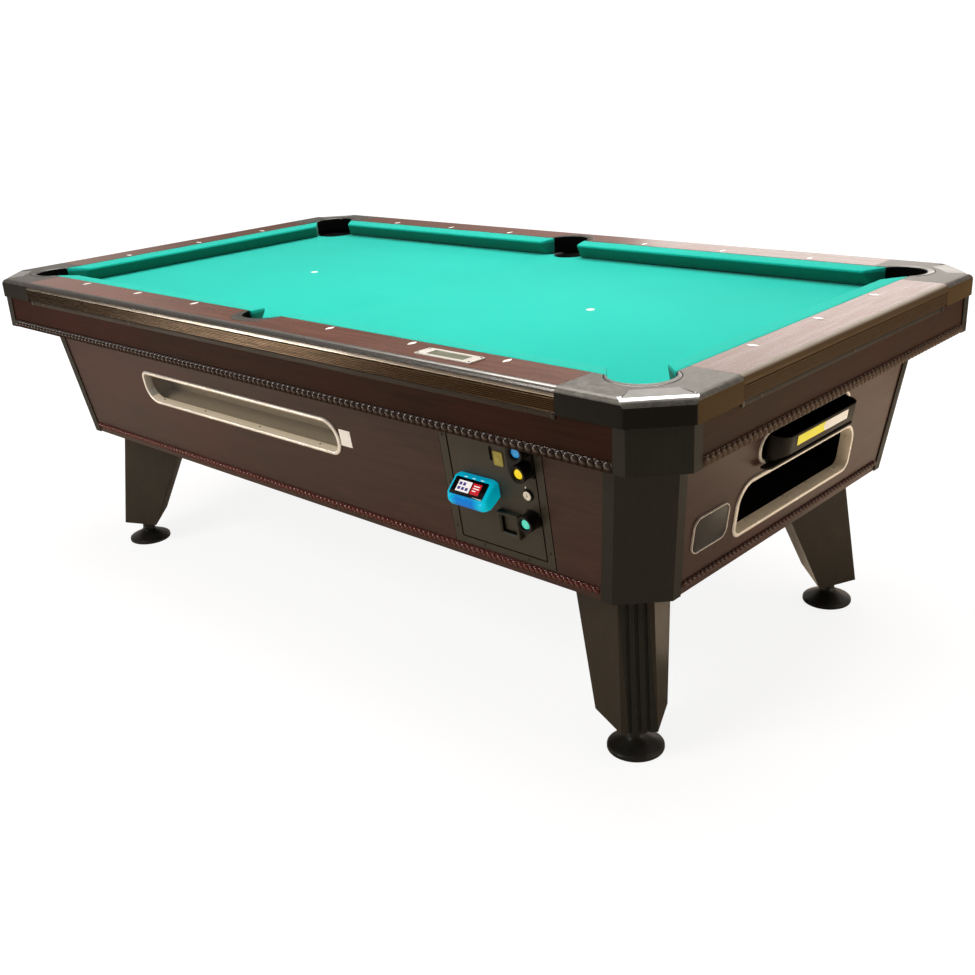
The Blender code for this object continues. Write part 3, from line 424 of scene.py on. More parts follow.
ROPE_UP = rope_material("rope_upper", (0.0150, 0.0068, 0.0040), (0.0270, 0.0125, 0.0074), 0.60, line=0.6892, spec=0.07)
# painted light: the upper rope on the short sides is a paler, warmer copy of the long-side rope, standing in for the
# warm light on the ends
ROPE_END = rope_material("rope_upper_end", (0.046, 0.0205, 0.0080), (0.084, 0.0395, 0.0155), 0.44, 0.32, 0.13, spec=0.10)
ROPE_LOW = rope_material("rope_lower", (0.078, 0.0135, 0.0090), (0.135, 0.0260, 0.0170), 0.55, line=0.3862, spec=0.07)
# painted shade: the lower rope on the short sides is a darker, less red copy of the long-side rope
ROPE_LOW_END = rope_material("rope_lower_end", (0.042, 0.0130, 0.0080), (0.075, 0.0240, 0.0150), 0.34, 0.30, 0.26)


def moulded(name, base, rough=0.32, shade=0.75, grain=420.0, **more):
    """Moulded plastic: slight mottling and a fine spark-eroded grain."""
    k = Mat(name, base, rough, **more)
    cloud = k.noise(k.coords(), 40.0, 3.0, 0.5)
    fine = k.noise(k.coords(), grain, 2.0, 0.5)
    k.colour(k.mix(k.span(cloud, 0.35, 0.75, 0.0, 0.6), base, tuple(c * shade for c in base)))
    k.roughness(cloud, rough * 0.8, rough * 1.25)
    k.bump(fine, 0.06, 0.0003)
    return k.m


def terminal_plastic():
    """Cyan shell with painted light: pale cyan at its ends and top, deeper blue low in the middle, and a faint glow in
    its own tones.
    """
    k = Mat("terminal_cyan", (0.0, 0.40, 0.60), 0.22, spec=0.16)
    across = k.math("ABSOLUTE", k.math("SUBTRACT", k.axis(0), 0.6135), 0.0)
    # painted light: the ends and the top are painted paler
    ends = k.span(across, 0.020, 0.050)
    high = k.span(k.axis(2), 0.520, 0.552)
    cloud = k.noise(k.coords(), 60.0, 3.0, 0.5)
    tone = k.mix(ends, (0.0, 0.150, 0.56), (0.0, 0.60, 0.76))
    tone = k.mix(k.math("MULTIPLY", high, 0.8), tone, (0.0, 0.44, 0.62))
    tone = k.mix(k.span(cloud, 0.35, 0.75, 0.0, 0.16), tone, (0.0, 0.28, 0.48))
    k.colour(tone).roughness(cloud, 0.18, 0.30)
    # painted light: a faint glow in the shell's own tones
    k.nt.links.new(tone, k.b.inputs["Emission Color"])
    k.b.inputs["Emission Strength"].default_value = 0.38
    k.bump(k.noise(k.coords(), 420.0, 2.0, 0.5), 0.04, 0.0003)
    return k.m


CYAN = terminal_plastic()
BLUE = moulded("cap_blue", (0.035, 0.36, 0.78), 0.30)
YELLOW = moulded("cap_yellow", (0.86, 0.66, 0.020), 0.30)
TEAL = moulded("cap_teal", (0.085, 0.70, 0.54), 0.30)
WHITE = moulded("inlay_white", (0.93, 0.91, 0.87), 0.30, 0.94)
CREAM = moulded("counter_cream", (0.60, 0.57, 0.51), 0.34, 0.85)
LCD = moulded("counter_display", (0.170, 0.175, 0.125), 0.14, 0.8)
TOKEN = moulded("token_plate_brass", (0.46, 0.40, 0.075), 0.36, 0.45, 160.0)
PATCH_Y = moulded("patch_yellow", (0.96, 0.87, 0.030), 0.36, 0.94)
PATCH_W = moulded("patch_white", (0.96, 0.93, 0.86), 0.36, 0.95)
SCREEN = moulded("screen_black_glass", (0.0035, 0.0035, 0.0040), 0.08, 0.6)
BLOCK_R = moulded("screen_block_red", (0.48, 0.016, 0.022), 0.12, 0.85)
BLOCK_W = moulded("screen_block_white", (0.80, 0.77, 0.76), 0.12, 0.94)
BLOCK_B = moulded("screen_block_blue", (0.085, 0.075, 0.40), 0.12, 0.85)
LED = moulded("terminal_light", (0.40, 0.85, 0.92), 0.15, 0.95)


def lit(mat, colour, strength):
    """Glow for back-lit translucent plastic; on the scoop's printed patches it is painted light."""
    bsdf = mat.node_tree.nodes["Principled BSDF"]
    bsdf.inputs["Emission Color"].default_value = (*colour, 1)
    bsdf.inputs["Emission Strength"].default_value = strength


lit(BLUE, (0.01, 0.30, 0.80), 0.25)
lit(YELLOW, (0.95, 0.74, 0.01), 0.32)
lit(TEAL, (0.10, 0.75, 0.58), 0.30)
lit(BLOCK_R, (0.60, 0.010, 0.025), 0.45)
lit(BLOCK_W, (0.95, 0.92, 0.95), 0.45)
lit(LED, (0.45, 0.95, 1.0), 0.35)
# painted light: the printed patches on the scoop get a faint glow standing in for the light on them
lit(PATCH_Y, (0.96, 0.87, 0.03), 0.16)
lit(PATCH_W, (1.0, 0.97, 0.90), 0.14)


def board(name, along, a, b):
    """Bare or painted board inside the cabinet."""
    k = Mat(name, a, 0.62, spec=0.3)
    s = {"x": (1.4, 30, 30), "y": (30, 1.4, 30)}[along]
    g = k.noise(k.coords(s), 4.0, 5.0, 0.6, 0.4)
    k.colour(k.ramp(g, [(0.28, a), (0.75, b)])).roughness(g, 0.52, 0.70)
    k.bump(g, 0.12, 0.0006)
    return k.m


# painted light and shade: rack back board and rack floor are one board; the back, in shade inside the window, is
# painted much paler and the lit floor darker
BACK_BOARD = board("rack_back_board", "x", (0.62, 0.505, 0.350), (0.69, 0.565, 0.400))
RACK_FLOOR = board("rack_floor_board", "x", (0.340, 0.272, 0.182), (0.400, 0.324, 0.220))
# a cream ledge board, its tone raised as painted light for the light falling on the sleeve's floor
LEDGE = board("rack_ledge", "x", (0.86, 0.75, 0.56), (0.93, 0.82, 0.64))
UNDER = board("bottom_board", "x", (0.030, 0.022, 0.015), (0.055, 0.041, 0.028))


def slate_stone():
    k = Mat("slate_stone", (0.10, 0.105, 0.11), 0.55, spec=0.3)
    n = k.noise(k.coords((2, 6, 10)), 4.0, 6.0, 0.6, 0.3)
    k.colour(k.ramp(n, [(0.3, (0.065, 0.070, 0.075)), (0.75, (0.13, 0.135, 0.14))]))
    k.bump(n, 0.15, 0.001)
    return k.m


SLATE = slate_stone()


def pane_material():
    """Thin clear acrylic: mostly see-through, with rubbed haze."""
    k = Mat("pane_acrylic", (0.78, 0.80, 0.78), 0.10, spec=0.3)
    haze = k.noise(k.coords((6, 6, 30)), 6.0, 4.0, 0.6)
    k.nt.links.new(k.span(haze, 0.3, 0.8, 0.015, 0.045), k.b.inputs["Alpha"])
    k.roughness(haze, 0.06, 0.14)
    return k.m


PANE = pane_material()


# ---------------------------------------------------------------------- meshes
def tidy(mesh, dist=1e-6):
    bm = bmesh.new()
    bm.from_mesh(mesh)
    bmesh.ops.remove_doubles(bm, verts=bm.verts, dist=dist)
    bmesh.ops.recalc_face_normals(bm, faces=bm.faces)
    bm.to_mesh(mesh)
    bm.free()
    return mesh


def smooth(mesh, angle=35):
    mesh.shade_smooth()
    mesh.set_sharp_from_angle(angle=math.radians(angle))
    return mesh


def plate(points, z0, z1, holes=()):
    """Flat outline, with holes, from z0 to z1."""
    curve = bpy.data.curves.new("outline", "CURVE")
    curve.dimensions = "2D"
    curve.fill_mode = "BOTH"
    curve.extrude = (z1 - z0) / 2
    for loop in (points, *holes):
        spline = curve.splines.new("POLY")
        spline.points.add(len(loop) - 1)
        for point, (x, y) in zip(spline.points, loop):
            point.co = (x, y, 0.0, 1.0)
        spline.use_cyclic_u = True
    ob = bpy.data.objects.new("outline", curve)
    bpy.context.scene.collection.objects.link(ob)
    graph = bpy.context.evaluated_depsgraph_get()
    mesh = bpy.data.meshes.new_from_object(ob.evaluated_get(graph))
    bpy.data.objects.remove(ob)
    bpy.data.curves.remove(curve)
    mesh.materials.clear()
    mesh.transform(Matrix.Translation((0, 0, (z0 + z1) / 2)))
    return tidy(mesh, 1e-5)


def rings(rows, closed_rows=False, caps=True):
    """Skin over a list of closed point loops of equal length."""
    bm = bmesh.new()
    made = [[bm.verts.new(p) for p in row] for row in rows]
    n = len(rows[0])
    pairs = list(zip(made, made[1:])) + ([(made[-1], made[0])] if closed_rows else [])
    for a, b in pairs:
        for i in range(n):
            j = (i + 1) % n
            bm.faces.new((a[i], a[j], b[j], b[i]))
    if caps and not closed_rows:
        bm.faces.new(made[0])
        bm.faces.new(made[-1])
    bmesh.ops.remove_doubles(bm, verts=bm.verts, dist=1e-7)
    bmesh.ops.recalc_face_normals(bm, faces=bm.faces)
    mesh = bpy.data.meshes.new("skin")
    bm.to_mesh(mesh)
    bm.free()
    return mesh


def lathe(profile, seg=48, m=None):
    """Turned piece about local z from (radius, z) points; a zero radius closes it."""
    bm = bmesh.new()
    rows = []
    for r, z in profile:
        if r < 1e-7:
            rows.append([bm.verts.new((0, 0, z))])
        else:
            rows.append([bm.verts.new((r * math.cos(2 * math.pi * i / seg), r * math.sin(2 * math.pi * i / seg), z))
                         for i in range(seg)])
    closed = len(rows[0]) > 1 and len(rows[-1]) > 1
    for a, b in list(zip(rows, rows[1:])) + ([(rows[-1], rows[0])] if closed else []):
        for i in range(seg):
            j = (i + 1) % seg
            if len(a) == 1:
                bm.faces.new((a[0], b[j], b[i]))
            elif len(b) == 1:
                bm.faces.new((a[i], a[j], b[0]))
            else:
                bm.faces.new((a[i], a[j], b[j], b[i]))
    bmesh.ops.recalc_face_normals(bm, faces=bm.faces)
    mesh = bpy.data.meshes.new("turned")
    bm.to_mesh(mesh)
    bm.free()
    if m is not None:
        mesh.transform(m)
    return smooth(mesh, 40)


def offset_loop(points, o):
    """Closed 2D loop (counter-clockwise) moved outwards by o with mitred corners."""
    out, n = [], len(points)
    for i in range(n):
        p0, p1, p2 = Vector(points[i - 1]), Vector(points[i]), Vector(points[(i + 1) % n])
        a, b = (p1 - p0).normalized(), (p2 - p1).normalized()
        na, nb = Vector((a.y, -a.x)), Vector((b.y, -b.x))
        m = na + nb
        m = m / max(0.2, m.dot(na)) if m.length > 1e-9 else na
        out.append(p1 + m * o)
    return out


def sweep_loop(path, profile, m):
    """Closed moulding: the profile (offset outwards, height) carried round a closed path."""
    rows = [[Vector((p.x, p.y, n)) for p in offset_loop(path, o)] for o, n in profile]
    mesh = rings(rows, closed_rows=True)
    mesh.transform(m)
    return mesh


def arc(cx, cy, r, a0, a1, n):
    return [(cx + r * math.cos(math.radians(a0 + (a1 - a0) * i / n)),
             cy + r * math.sin(math.radians(a0 + (a1 - a0) * i / n))) for i in range(n + 1)]


def rounded(x0, y0, x1, y1, radii, grow=0.0, n=14):
    ll, lr, ur, ul = [max(0.0005, r + grow) for r in radii]
    x0, y0, x1, y1 = x0 - grow, y0 - grow, x1 + grow, y1 + grow
    pts = (arc(x0 + ll, y0 + ll, ll, 180, 270, n) + arc(x1 - lr, y0 + lr, lr, 270, 360, n)
           + arc(x1 - ur, y1 - ur, ur, 0, 90, n) + arc(x0 + ul, y1 - ul, ul, 90, 180, n))
    out = []
    for p in pts:
        if not out or (Vector(p) - Vector(out[-1])).length > 1e-6:
            out.append(p)
    if (Vector(out[0]) - Vector(out[-1])).length < 1e-6:
        out.pop()
    return out


def merged(meshes):
    bm = bmesh.new()
    for mesh in meshes:
        bm.from_mesh(mesh)
    out = bpy.data.meshes.new("merged")
    bm.to_mesh(out)
    bm.free()
    return out


def moved(mesh, m):
    out = mesh.copy()
    out.transform(m)
    if m.determinant() < 0:
        out.flip_normals()
    return out


def boolean(mesh, *steps):
    """Applies (operation, other mesh) steps and returns the result."""
    scene = bpy.context.scene.collection.objects
    ob = bpy.data.objects.new("work", mesh)
    scene.link(ob)
    others = []
    for op, other in steps:
        o = bpy.data.objects.new("tool", other)
        scene.link(o)
        others.append(o)
        mod = ob.modifiers.new("b", "BOOLEAN")
        mod.operation, mod.solver, mod.object = op, "EXACT", o
    bpy.context.view_layer.update()
    out = bpy.data.meshes.new_from_object(ob.evaluated_get(bpy.context.evaluated_depsgraph_get()))
    for o in [ob, *others]:
        bpy.data.objects.remove(o)
    return out


def bevelled(mesh, width, seg=2, angle=30):
    """Rounds the sharp edges of a mesh for good."""
    bm = bmesh.new()
    bm.from_mesh(mesh)
    bmesh.ops.dissolve_limit(bm, angle_limit=math.radians(0.5), verts=bm.verts, edges=bm.edges)
    sharp = [e for e in bm.edges if len(e.link_faces) == 2 and e.calc_face_angle(0) > math.radians(angle)]
    bmesh.ops.bevel(bm, geom=sharp, offset=width, segments=seg, affect="EDGES", profile=0.5, clamp_overlap=True)
    bmesh.ops.remove_doubles(bm, verts=bm.verts, dist=1e-7)
    bmesh.ops.recalc_face_normals(bm, faces=bm.faces)
    bm.to_mesh(mesh)
    bm.free()
    return smooth(mesh, 32)


def add(name, mesh, mats, body="cabinet", slot=None, stands_for=()):
    mesh.name = name
    index = [p.material_index for p in mesh.polygons]
    mesh.materials.clear()
    for m in (mats if isinstance(mats, (list, tuple)) else [mats]):
        mesh.materials.append(m)
    for poly, i in zip(mesh.polygons, index):
        poly.material_index = i
    ob = bpy.data.objects.new(name, mesh)
    bpy.context.scene.collection.objects.link(ob)
    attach(ob, body)
    if stands_for:
        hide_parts(*stands_for)
    return ob


def paint(node, *mats, pick=None):
    """New material on a carried-over node; pick(centre, normal) chooses among several."""
    mesh = NODES[node].data
    mesh.materials.clear()
    for m in mats:
        mesh.materials.append(m)
    for poly in mesh.polygons:
        poly.material_index = pick(poly.center, poly.normal) if pick else 0


def soften(node, width, seg=3):
    """Small rounded edges on a carried-over node, by modifiers only."""
    ob = NODES[node]
    weld = ob.modifiers.new("weld", "WELD")
    weld.merge_threshold = 1e-5
    mod = ob.modifiers.new("soft_edges", "BEVEL")
    mod.limit_method, mod.angle_limit = "ANGLE", math.radians(25)
    mod.width, mod.segments = width, seg
    mod.harden_normals = False
    mod.use_clamp_overlap = True


def screw_mesh(r=0.0032, h=0.0016):
    """Domed cross-head screw, axis on local z."""
    head = lathe([(0, h), (r * 0.45, h * 0.94), (r * 0.8, h * 0.66), (r, h * 0.2), (r, 0), (0, 0)], 20)
    slot_a = plate([(-r * 0.62, -r * 0.10), (r * 0.62, -r * 0.10), (r * 0.62, r * 0.10), (-r * 0.62, r * 0.10)], h * 0.45, h * 2)
    slot_b = moved(slot_a, Matrix.Rotation(math.pi / 2, 4, "Z"))
    return smooth(boolean(head, ("DIFFERENCE", slot_a), ("DIFFERENCE", slot_b)), 40)


SCREW = screw_mesh()


def screws(name, places, mat, body="cabinet", scale=1.0, slot="plated_steel"):
    """places: list of (frame matrix, x, y, z)."""
    parts = []
    for i, (m, x, y, z) in enumerate(places):
        parts.append(moved(SCREW, m @ Matrix.Translation((x, y, z)) @ Matrix.Rotation(0.7 * i, 4, "Z") @ Matrix.Scale(scale, 4)))
    return add(name, smooth(merged(parts), 40), mat, body, slot)


# ------------------------------------------------------------------- bed cloth
def bed_cloth():
    """Stretched sheet; at each pocket it rolls over the edge of the slate."""
    hx, hy, top = 1.000, 0.517, 0.7650
    roll, tail = 0.0028, 0.0165
    loop, arcs = [], []

    def pocket(cx, cy, edge, a0, a1, n):
        r0 = edge + 0.0008
        pts = []
        for i in range(n + 1):
            a = math.radians(a0 + (a1 - a0) * i / n)
            pts.append((cx, cy, math.cos(a), math.sin(a)))
        arcs.append((len(loop), pts, r0))
        loop.extend((cx + r0 * c, cy + r0 * s) for cx, cy, c, s in pts)

    rc, rs = 0.0583 + 0.0008, 0.0465 + 0.0008
    ax = math.degrees(math.acos((hx - 0.974) / rc))          # meets the side x = hx
    ay = math.degrees(math.asin((hy - 0.496) / rc))          # meets the side y = hy
    sa = math.degrees(math.asin((0.530 - hy) / rs))
    pocket(0.974, 0.496, 0.0583, -ax, ay - 180 - 2 * ay, 26)
    pocket(0.0, 0.530, 0.0465, -sa, sa - 180, 22)
    pocket(-0.974, 0.496, 0.0583, ay, ax - 180, 26)
    pocket(-0.974, -0.496, 0.0583, 180 - ax, -ay, 26)
    pocket(0.0, -0.530, 0.0465, 180 - sa, sa, 22)
    pocket(0.974, -0.496, 0.0583, 180 + ay, ax, 26)
    bm = bmesh.new()
    verts = [bm.verts.new((x, y, top)) for x, y in loop]
    bm.faces.new(verts)
    for start, pts, r0 in arcs:
        row = verts[start:start + len(pts)]
        steps = [(roll * math.sin(math.radians(a)), roll * (1 - math.cos(math.radians(a)))) for a in (18, 36, 54, 72, 90)]
        steps.append((roll + 0.0002, tail))
        for o, d in steps:
            new = [bm.verts.new((cx + (r0 - o) * c, cy + (r0 - o) * s, top - d)) for cx, cy, c, s in pts]
            for i in range(len(pts) - 1):
                bm.faces.new((row[i], row[i + 1], new[i + 1], new[i]))
            row = new
    bmesh.ops.recalc_face_normals(bm, faces=bm.faces)
    if sum(f.normal.z for f in bm.faces) < 0:
        bmesh.ops.reverse_faces(bm, faces=bm.faces)
    bmesh.ops.triangulate(bm, faces=[f for f in bm.faces if len(f.verts) > 4])
    mesh = bpy.data.meshes.new("bed_sheet")
    bm.to_mesh(mesh)
    bm.free()
    ob = add("bed_sheet", smooth(mesh, 40), CLOTH, "cabinet", "green_cloth", ("bed_cloth",))
    mod = ob.modifiers.new("thickness", "SOLIDIFY")
    mod.thickness, mod.offset = 0.0006, -1
    return ob


bed_cloth()


# -------------------------------------------------------------------- cushions
def fillet(points, radii, n=6):
    """Closed 2D polygon with its corners rounded."""
    out, count = [], len(points)
    for i in range(count):
        p0, p1, p2 = Vector(points[i - 1]), Vector(points[i]), Vector(points[(i + 1) % count])
        r = radii[i]
        if r <= 0:
            out.append(p1)
            continue
        a, b = (p0 - p1).normalized(), (p2 - p1).normalized()
        half = a.angle(b) / 2
        d = min(r / math.tan(half), (p0 - p1).length * 0.48, (p2 - p1).length * 0.48)
        rr = d * math.tan(half)
        c = p1 + (a + b).normalized() * (rr / math.sin(half))
        s, e = p1 + a * d - c, p1 + b * d - c
        turn = s.angle_signed(e)
        for k in range(n + 1):
            t = -turn * k / n
            out.append(c + Vector((s.x * math.cos(t) - s.y * math.sin(t), s.x * math.sin(t) + s.y * math.cos(t))))
    return out


def cushion_profile():
    """(distance behind the nose, height): rounded nose, slightly crowned top, tucked back edge."""
    top = [(0.0460, 0.8052), (0.0456, 0.8068), (0.0440, 0.80775), (0.0340, 0.8072), (0.0230, 0.8063), (0.0120, 0.8053)]
    pts = top + [(0.0, 0.8040), (0.0, 0.7982), (0.0098, 0.7838), (0.0204, 0.7672), (0.0460, 0.7672)]
    radii = [0, 0, 0, 0, 0, 0, 0.0030, 0.0022, 0, 0.0016, 0]
    return fillet(pts, radii)


def inward(profile):
    """Unit vectors pointing into a closed profile at each point."""
    n, vec = len(profile), []
    area = sum(profile[i - 1].x * profile[i].y - profile[i].x * profile[i - 1].y for i in range(n))
    for i in range(n):
        t = (profile[(i + 1) % n] - profile[i - 1]).normalized()
        v = Vector((-t.y, t.x))
        vec.append(v if area > 0 else -v)
    return vec


def cushion_mesh(x0, x1, k0, k1):
    """Along x, nose towards +y seen from the rail at y < 0; (q, z) becomes (-q, z) behind the nose."""
    prof = cushion_profile()
    into = inward(prof)
    edge = 0.0026
    rows = []

    def row(place, inset, k, at_end):
        pts = []
        for p, v in zip(prof, into):
            q, z = p.x + v.x * inset, p.y + v.y * inset
            pts.append((place(q), q, z))
        return pts

    ends = [(edge * (1 - math.cos(math.radians(a))), edge * (1 - math.sin(math.radians(a)))) for a in (0, 22, 45, 67, 90)]
    for t, d in ends:
        rows.append(row(lambda q, t=t: x0 - k0 * q + t, d, k0, True))
    count = max(8, int((x1 - x0) / 0.022))
    for i in range(1, count):
        f = i / count
        wob = 0.00012 * math.sin(f * count * 0.9) + 0.00010 * math.sin(f * count * 0.37 + 1.3)
        rows.append(row(lambda q, f=f: (x0 - k0 * q + edge) * (1 - f) + (x1 + k1 * q - edge) * f, wob, 0, False))
    for t, d in reversed(ends):
        rows.append(row(lambda q, t=t: x1 + k1 * q - t, d, k1, True))
    mesh = rings([[Vector((x, -q, z)) for x, q, z in r] for r in rows])
    return smooth(mesh, 50)


K_LONG, K_SHORT, K_SIDE = 0.77, 0.945, 0.25
long_one = cushion_mesh(0.064, NX - 0.074, K_SIDE, K_LONG)
short_one = cushion_mesh(-(NY - 0.074), NY - 0.074, K_SHORT, K_SHORT)
CUSHIONS = {
    "cushion_near_foot": Matrix.Translation((0, -NY, 0)),
    "cushion_near_head": Matrix.Diagonal((-1, 1, 1, 1)) @ Matrix.Translation((0, -NY, 0)),
    "cushion_far_foot": Matrix.Diagonal((1, -1, 1, 1)) @ Matrix.Translation((0, -NY, 0)),
    "cushion_far_head": Matrix.Diagonal((-1, -1, 1, 1)) @ Matrix.Translation((0, -NY, 0)),
    "cushion_foot_end": Matrix.Rotation(math.pi / 2, 4, "Z") @ Matrix.Translation((0, -NX, 0)),
    "cushion_head_end": Matrix.Rotation(-math.pi / 2, 4, "Z") @ Matrix.Translation((0, -NX, 0)),
}
for node, m in CUSHIONS.items():
    src = short_one if node.endswith("_end") else long_one
    ob = add(node.replace("cushion", "cloth_cushion"), moved(src, m), CLOTH_C, "cabinet", "green_cloth", (node,))

# ------------------------------------------------------------ rails and sights
for node in ("rail_near", "rail_far"):
    paint(node, RAIL_MX)
for node in ("rail_foot", "rail_head"):
    paint(node, RAIL_MY)
for node, finish in (("rail_trim_near", TRIM), ("rail_trim_far", TRIM), ("rail_trim_foot", TRIM_END), ("rail_trim_head", TRIM_END)):
    paint(node, finish)


def sight_outline(a=0.0128, b=0.0062):
    """Pointed inlay, long axis on local y."""
    pts = []
    for x0, y0, x1, y1 in ((b, 0, 0, a), (0, a, -b, 0), (-b, 0, 0, -a), (0, -a, b, 0)):
        for i in range(5):
            t = i / 5
            swell = 1 + 0.16 * math.sin(math.pi * t)
            pts.append(((x0 + (x1 - x0) * t) * swell, (y0 + (y1 - y0) * t) * swell))
    return pts


sight = bevelled(plate(sight_outline(), RAIL_TOP + 0.0001, RAIL_TOP + 0.0006), 0.0002, 1)
places = [(sx * FIELD_L / 8 * i, sy * (NY + 0.067), 0.0) for sx in (-1, 1) for sy in (-1, 1) for i in (1, 2, 3)]
places += [(sx * (NX + 0.067), y, math.pi / 2) for sx in (-1, 1) for y in (-FIELD_W / 4, 0, FIELD_W / 4)]
add("rail_sights", smooth(merged([moved(sight, Matrix.Translation((x, y, 0)) @ Matrix.Rotation(t, 4, "Z")) for x, y, t in places])),
    WHITE, "cabinet", "white_inlay")

spot = lathe([(0, 0.00035), (0.0090, 0.00032), (0.0098, 0.00012), (0.0098, 0.00002), (0, 0.00002)], 32)
add("bed_spots", merged([moved(spot, Matrix.Translation((x, 0, 0.7650))) for x in (-0.483, 0.483)]), WHITE, "cabinet", "white_inlay")


# ------------------------------------------------------------- corner castings
def cut_rect(hx, hy, c):
    return [(-hx + c, -hy), (hx - c, -hy), (hx, -hy + c), (hx, hy - c),
            (hx - c, hy), (-hx + c, hy), (-hx, hy - c), (-hx, -hy + c)]


RING_C, RING_R = (0.981, 0.503), 0.0660


def corner_casting():
    """Cast corner at (+, +): rounded outer edge, polished slope at the chamfer, seat for the pocket ring."""
    fx, fy = NX + RAIL_IN, NY + RAIL_IN
    outline = [(LX - CASTING, fy), (fx, fy), (fx, LY - CASTING), (LX, LY - CASTING), (LX, LY - CORNER_CUT),
               (LX - CORNER_CUT, LY), (LX - CASTING, LY)]
    mesh = plate(outline, 0.7600, RAIL_TOP)
    bm = bmesh.new()
    bm.from_mesh(mesh)
    bmesh.ops.dissolve_limit(bm, angle_limit=0.01, verts=bm.verts, edges=bm.edges)
    on = lambda v: v.co.x > LX - 1e-4 or v.co.y > LY - 1e-4
    rim = [e for e in bm.edges if all(v.co.z > RAIL_TOP - 1e-4 and on(v) for v in e.verts) and e.calc_length() > 0.01]
    bmesh.ops.bevel(bm, geom=rim, offset=TRIM_T, segments=8, affect="EDGES", profile=0.5)
    upright_edges = [e for e in bm.edges if len(e.link_faces) == 2 and abs(e.verts[0].co.z - e.verts[1].co.z) > 0.02
                     and all(on(v) for v in e.verts) and math.radians(30) < e.calc_face_angle(0) < math.radians(60)]
    bmesh.ops.bevel(bm, geom=upright_edges, offset=0.003, segments=3, affect="EDGES", profile=0.5)
    bm.to_mesh(mesh)
    bm.free()
    tidy(mesh)
    seat = plate(arc(*RING_C, RING_R, 0, 354, 59), 0.70, 0.85)
    slate_room = plate(cut_rect(1.071, 0.586, 0.070), 0.70, 0.7643)
    # shallow facet behind the chamfer and a steep polished band along it, in (across, outwards) coordinates
    v0, u0 = (LX + LY - CORNER_CUT) * S2, (LY - LX) * S2
    back, edge = v0 - 0.052, v0 - 0.0140

    def prism(plan, low):
        pts = lambda zf: [Vector((v * S2 - (u + u0) * S2, v * S2 + (u + u0) * S2, zf(v))) for u, v in plan]
        return rings([pts(low), pts(lambda v: 0.84)])

    wedge = prism([(-0.0400, back), (0.0400, back), (0.0690, v0 + 0.004), (-0.0690, v0 + 0.004)], lambda v: RAIL_TOP - 0.0353 * (v - back))
    steps = [("DIFFERENCE", seat), ("DIFFERENCE", slate_room), ("DIFFERENCE", wedge)]
    # the band is rounded: planes touching a curve that turns from 12 to 60 degrees
    curve_v, curve_z = edge, RAIL_TOP - 0.0014
    for i in range(7):
        slope = math.tan(math.radians(12 + 8 * i))
        place, level = curve_v, curve_z
        steps.append(("DIFFERENCE", prism([(-0.14, edge - 0.006), (0.14, edge - 0.006), (0.14, v0 + 0.010), (-0.14, v0 + 0.010)],
                                          lambda v, k=slope, a=place, z=level: z - k * (v - a))))
        curve_v += 0.0020
        curve_z -= 0.0020 * math.tan(math.radians(16 + 8 * i))
    mesh = boolean(mesh, *steps)
    smooth(mesh, 20)
    for poly in mesh.polygons:
        c, n = poly.center, poly.normal
        v = (c.x + c.y) * S2
        slope = n.x * S2 + n.y * S2
        if n.z > 0.998 and c.z < RAIL_TOP - 0.00003 and v > back - 0.001:
            poly.material_index = 3                       # facet
        elif 0.66 < n.z < 0.985 and slope > 0.17 and abs(n.x - n.y) < 0.05 and v > edge - 0.006:
            poly.material_index = 2                       # polished band
        elif n.z > 0.22:
            poly.material_index = 0                       # top and its rounded outer edge
        elif math.hypot(c.x - RING_C[0], c.y - RING_C[1]) < RING_R + 0.001 and abs(n.z) < 0.3:
            poly.material_index = 4
        # painted light: the outer face on the short side gets the warm bronze of the lit ends
        elif n.x > 0.97 and c.x > LX - 0.002:
            poly.material_index = 5                       # outer face on the short side
        else:
            poly.material_index = 1
    return mesh


def pocket_ring():
    """Crescent lip at a corner pocket, with a rounded polished top."""
    fx, fy = NX + RAIL_IN + 0.0004, NY + RAIL_IN + 0.0004
    cb, rb, ca, ra = RING_C, RING_R - 0.0011, (0.974, 0.496), 0.0580
    b0 = -math.degrees(math.acos((fx - cb[0]) / rb))
    b1 = 180 - math.degrees(math.asin((fy - cb[1]) / rb))
    a0 = -math.degrees(math.acos((fx - ca[0]) / ra))
    a1 = 180 - math.degrees(math.asin((fy - ca[1]) / ra))
    mesh = plate(arc(*cb, rb, b0, b1, 48) + arc(*ca, ra, a1, a0, 48), 0.7700, RAIL_TOP + 0.0006)
    bevelled(mesh, 0.0030, 4, 40)
    for poly in mesh.polygons:
        c, n = poly.center, poly.normal
        inside = (c.x - ca[0]) * n.x + (c.y - ca[1]) * n.y < 0
        poly.material_index = 1 if (inside and c.z < 0.8030) or c.z < 0.790 else 0
    return mesh


casting, ring = corner_casting(), pocket_ring()


def boot(x, y, r, z0, z1):
    """Soft drop liner: a tube with a rolled rim and moulded rings."""
    w = 0.0016
    out = [(r, z1 - 0.002), (r - 0.0006, z1), (r - w, z1), (r - w - 0.0004, z1 - 0.002)]
    rib = []
    steps = 6
    for i in range(1, steps):
        z = z1 - 0.002 - (z1 - 0.004 - z0) * i / steps
        rib += [(r - w - 0.0004, z + 0.0012), (r - w - 0.0010, z), (r - w - 0.0004, z - 0.0012)]
    prof = out + rib + [(r - w - 0.0004, z0), (r, z0)]
    return lathe(prof, 56, Matrix.Translation((x, y, 0)))


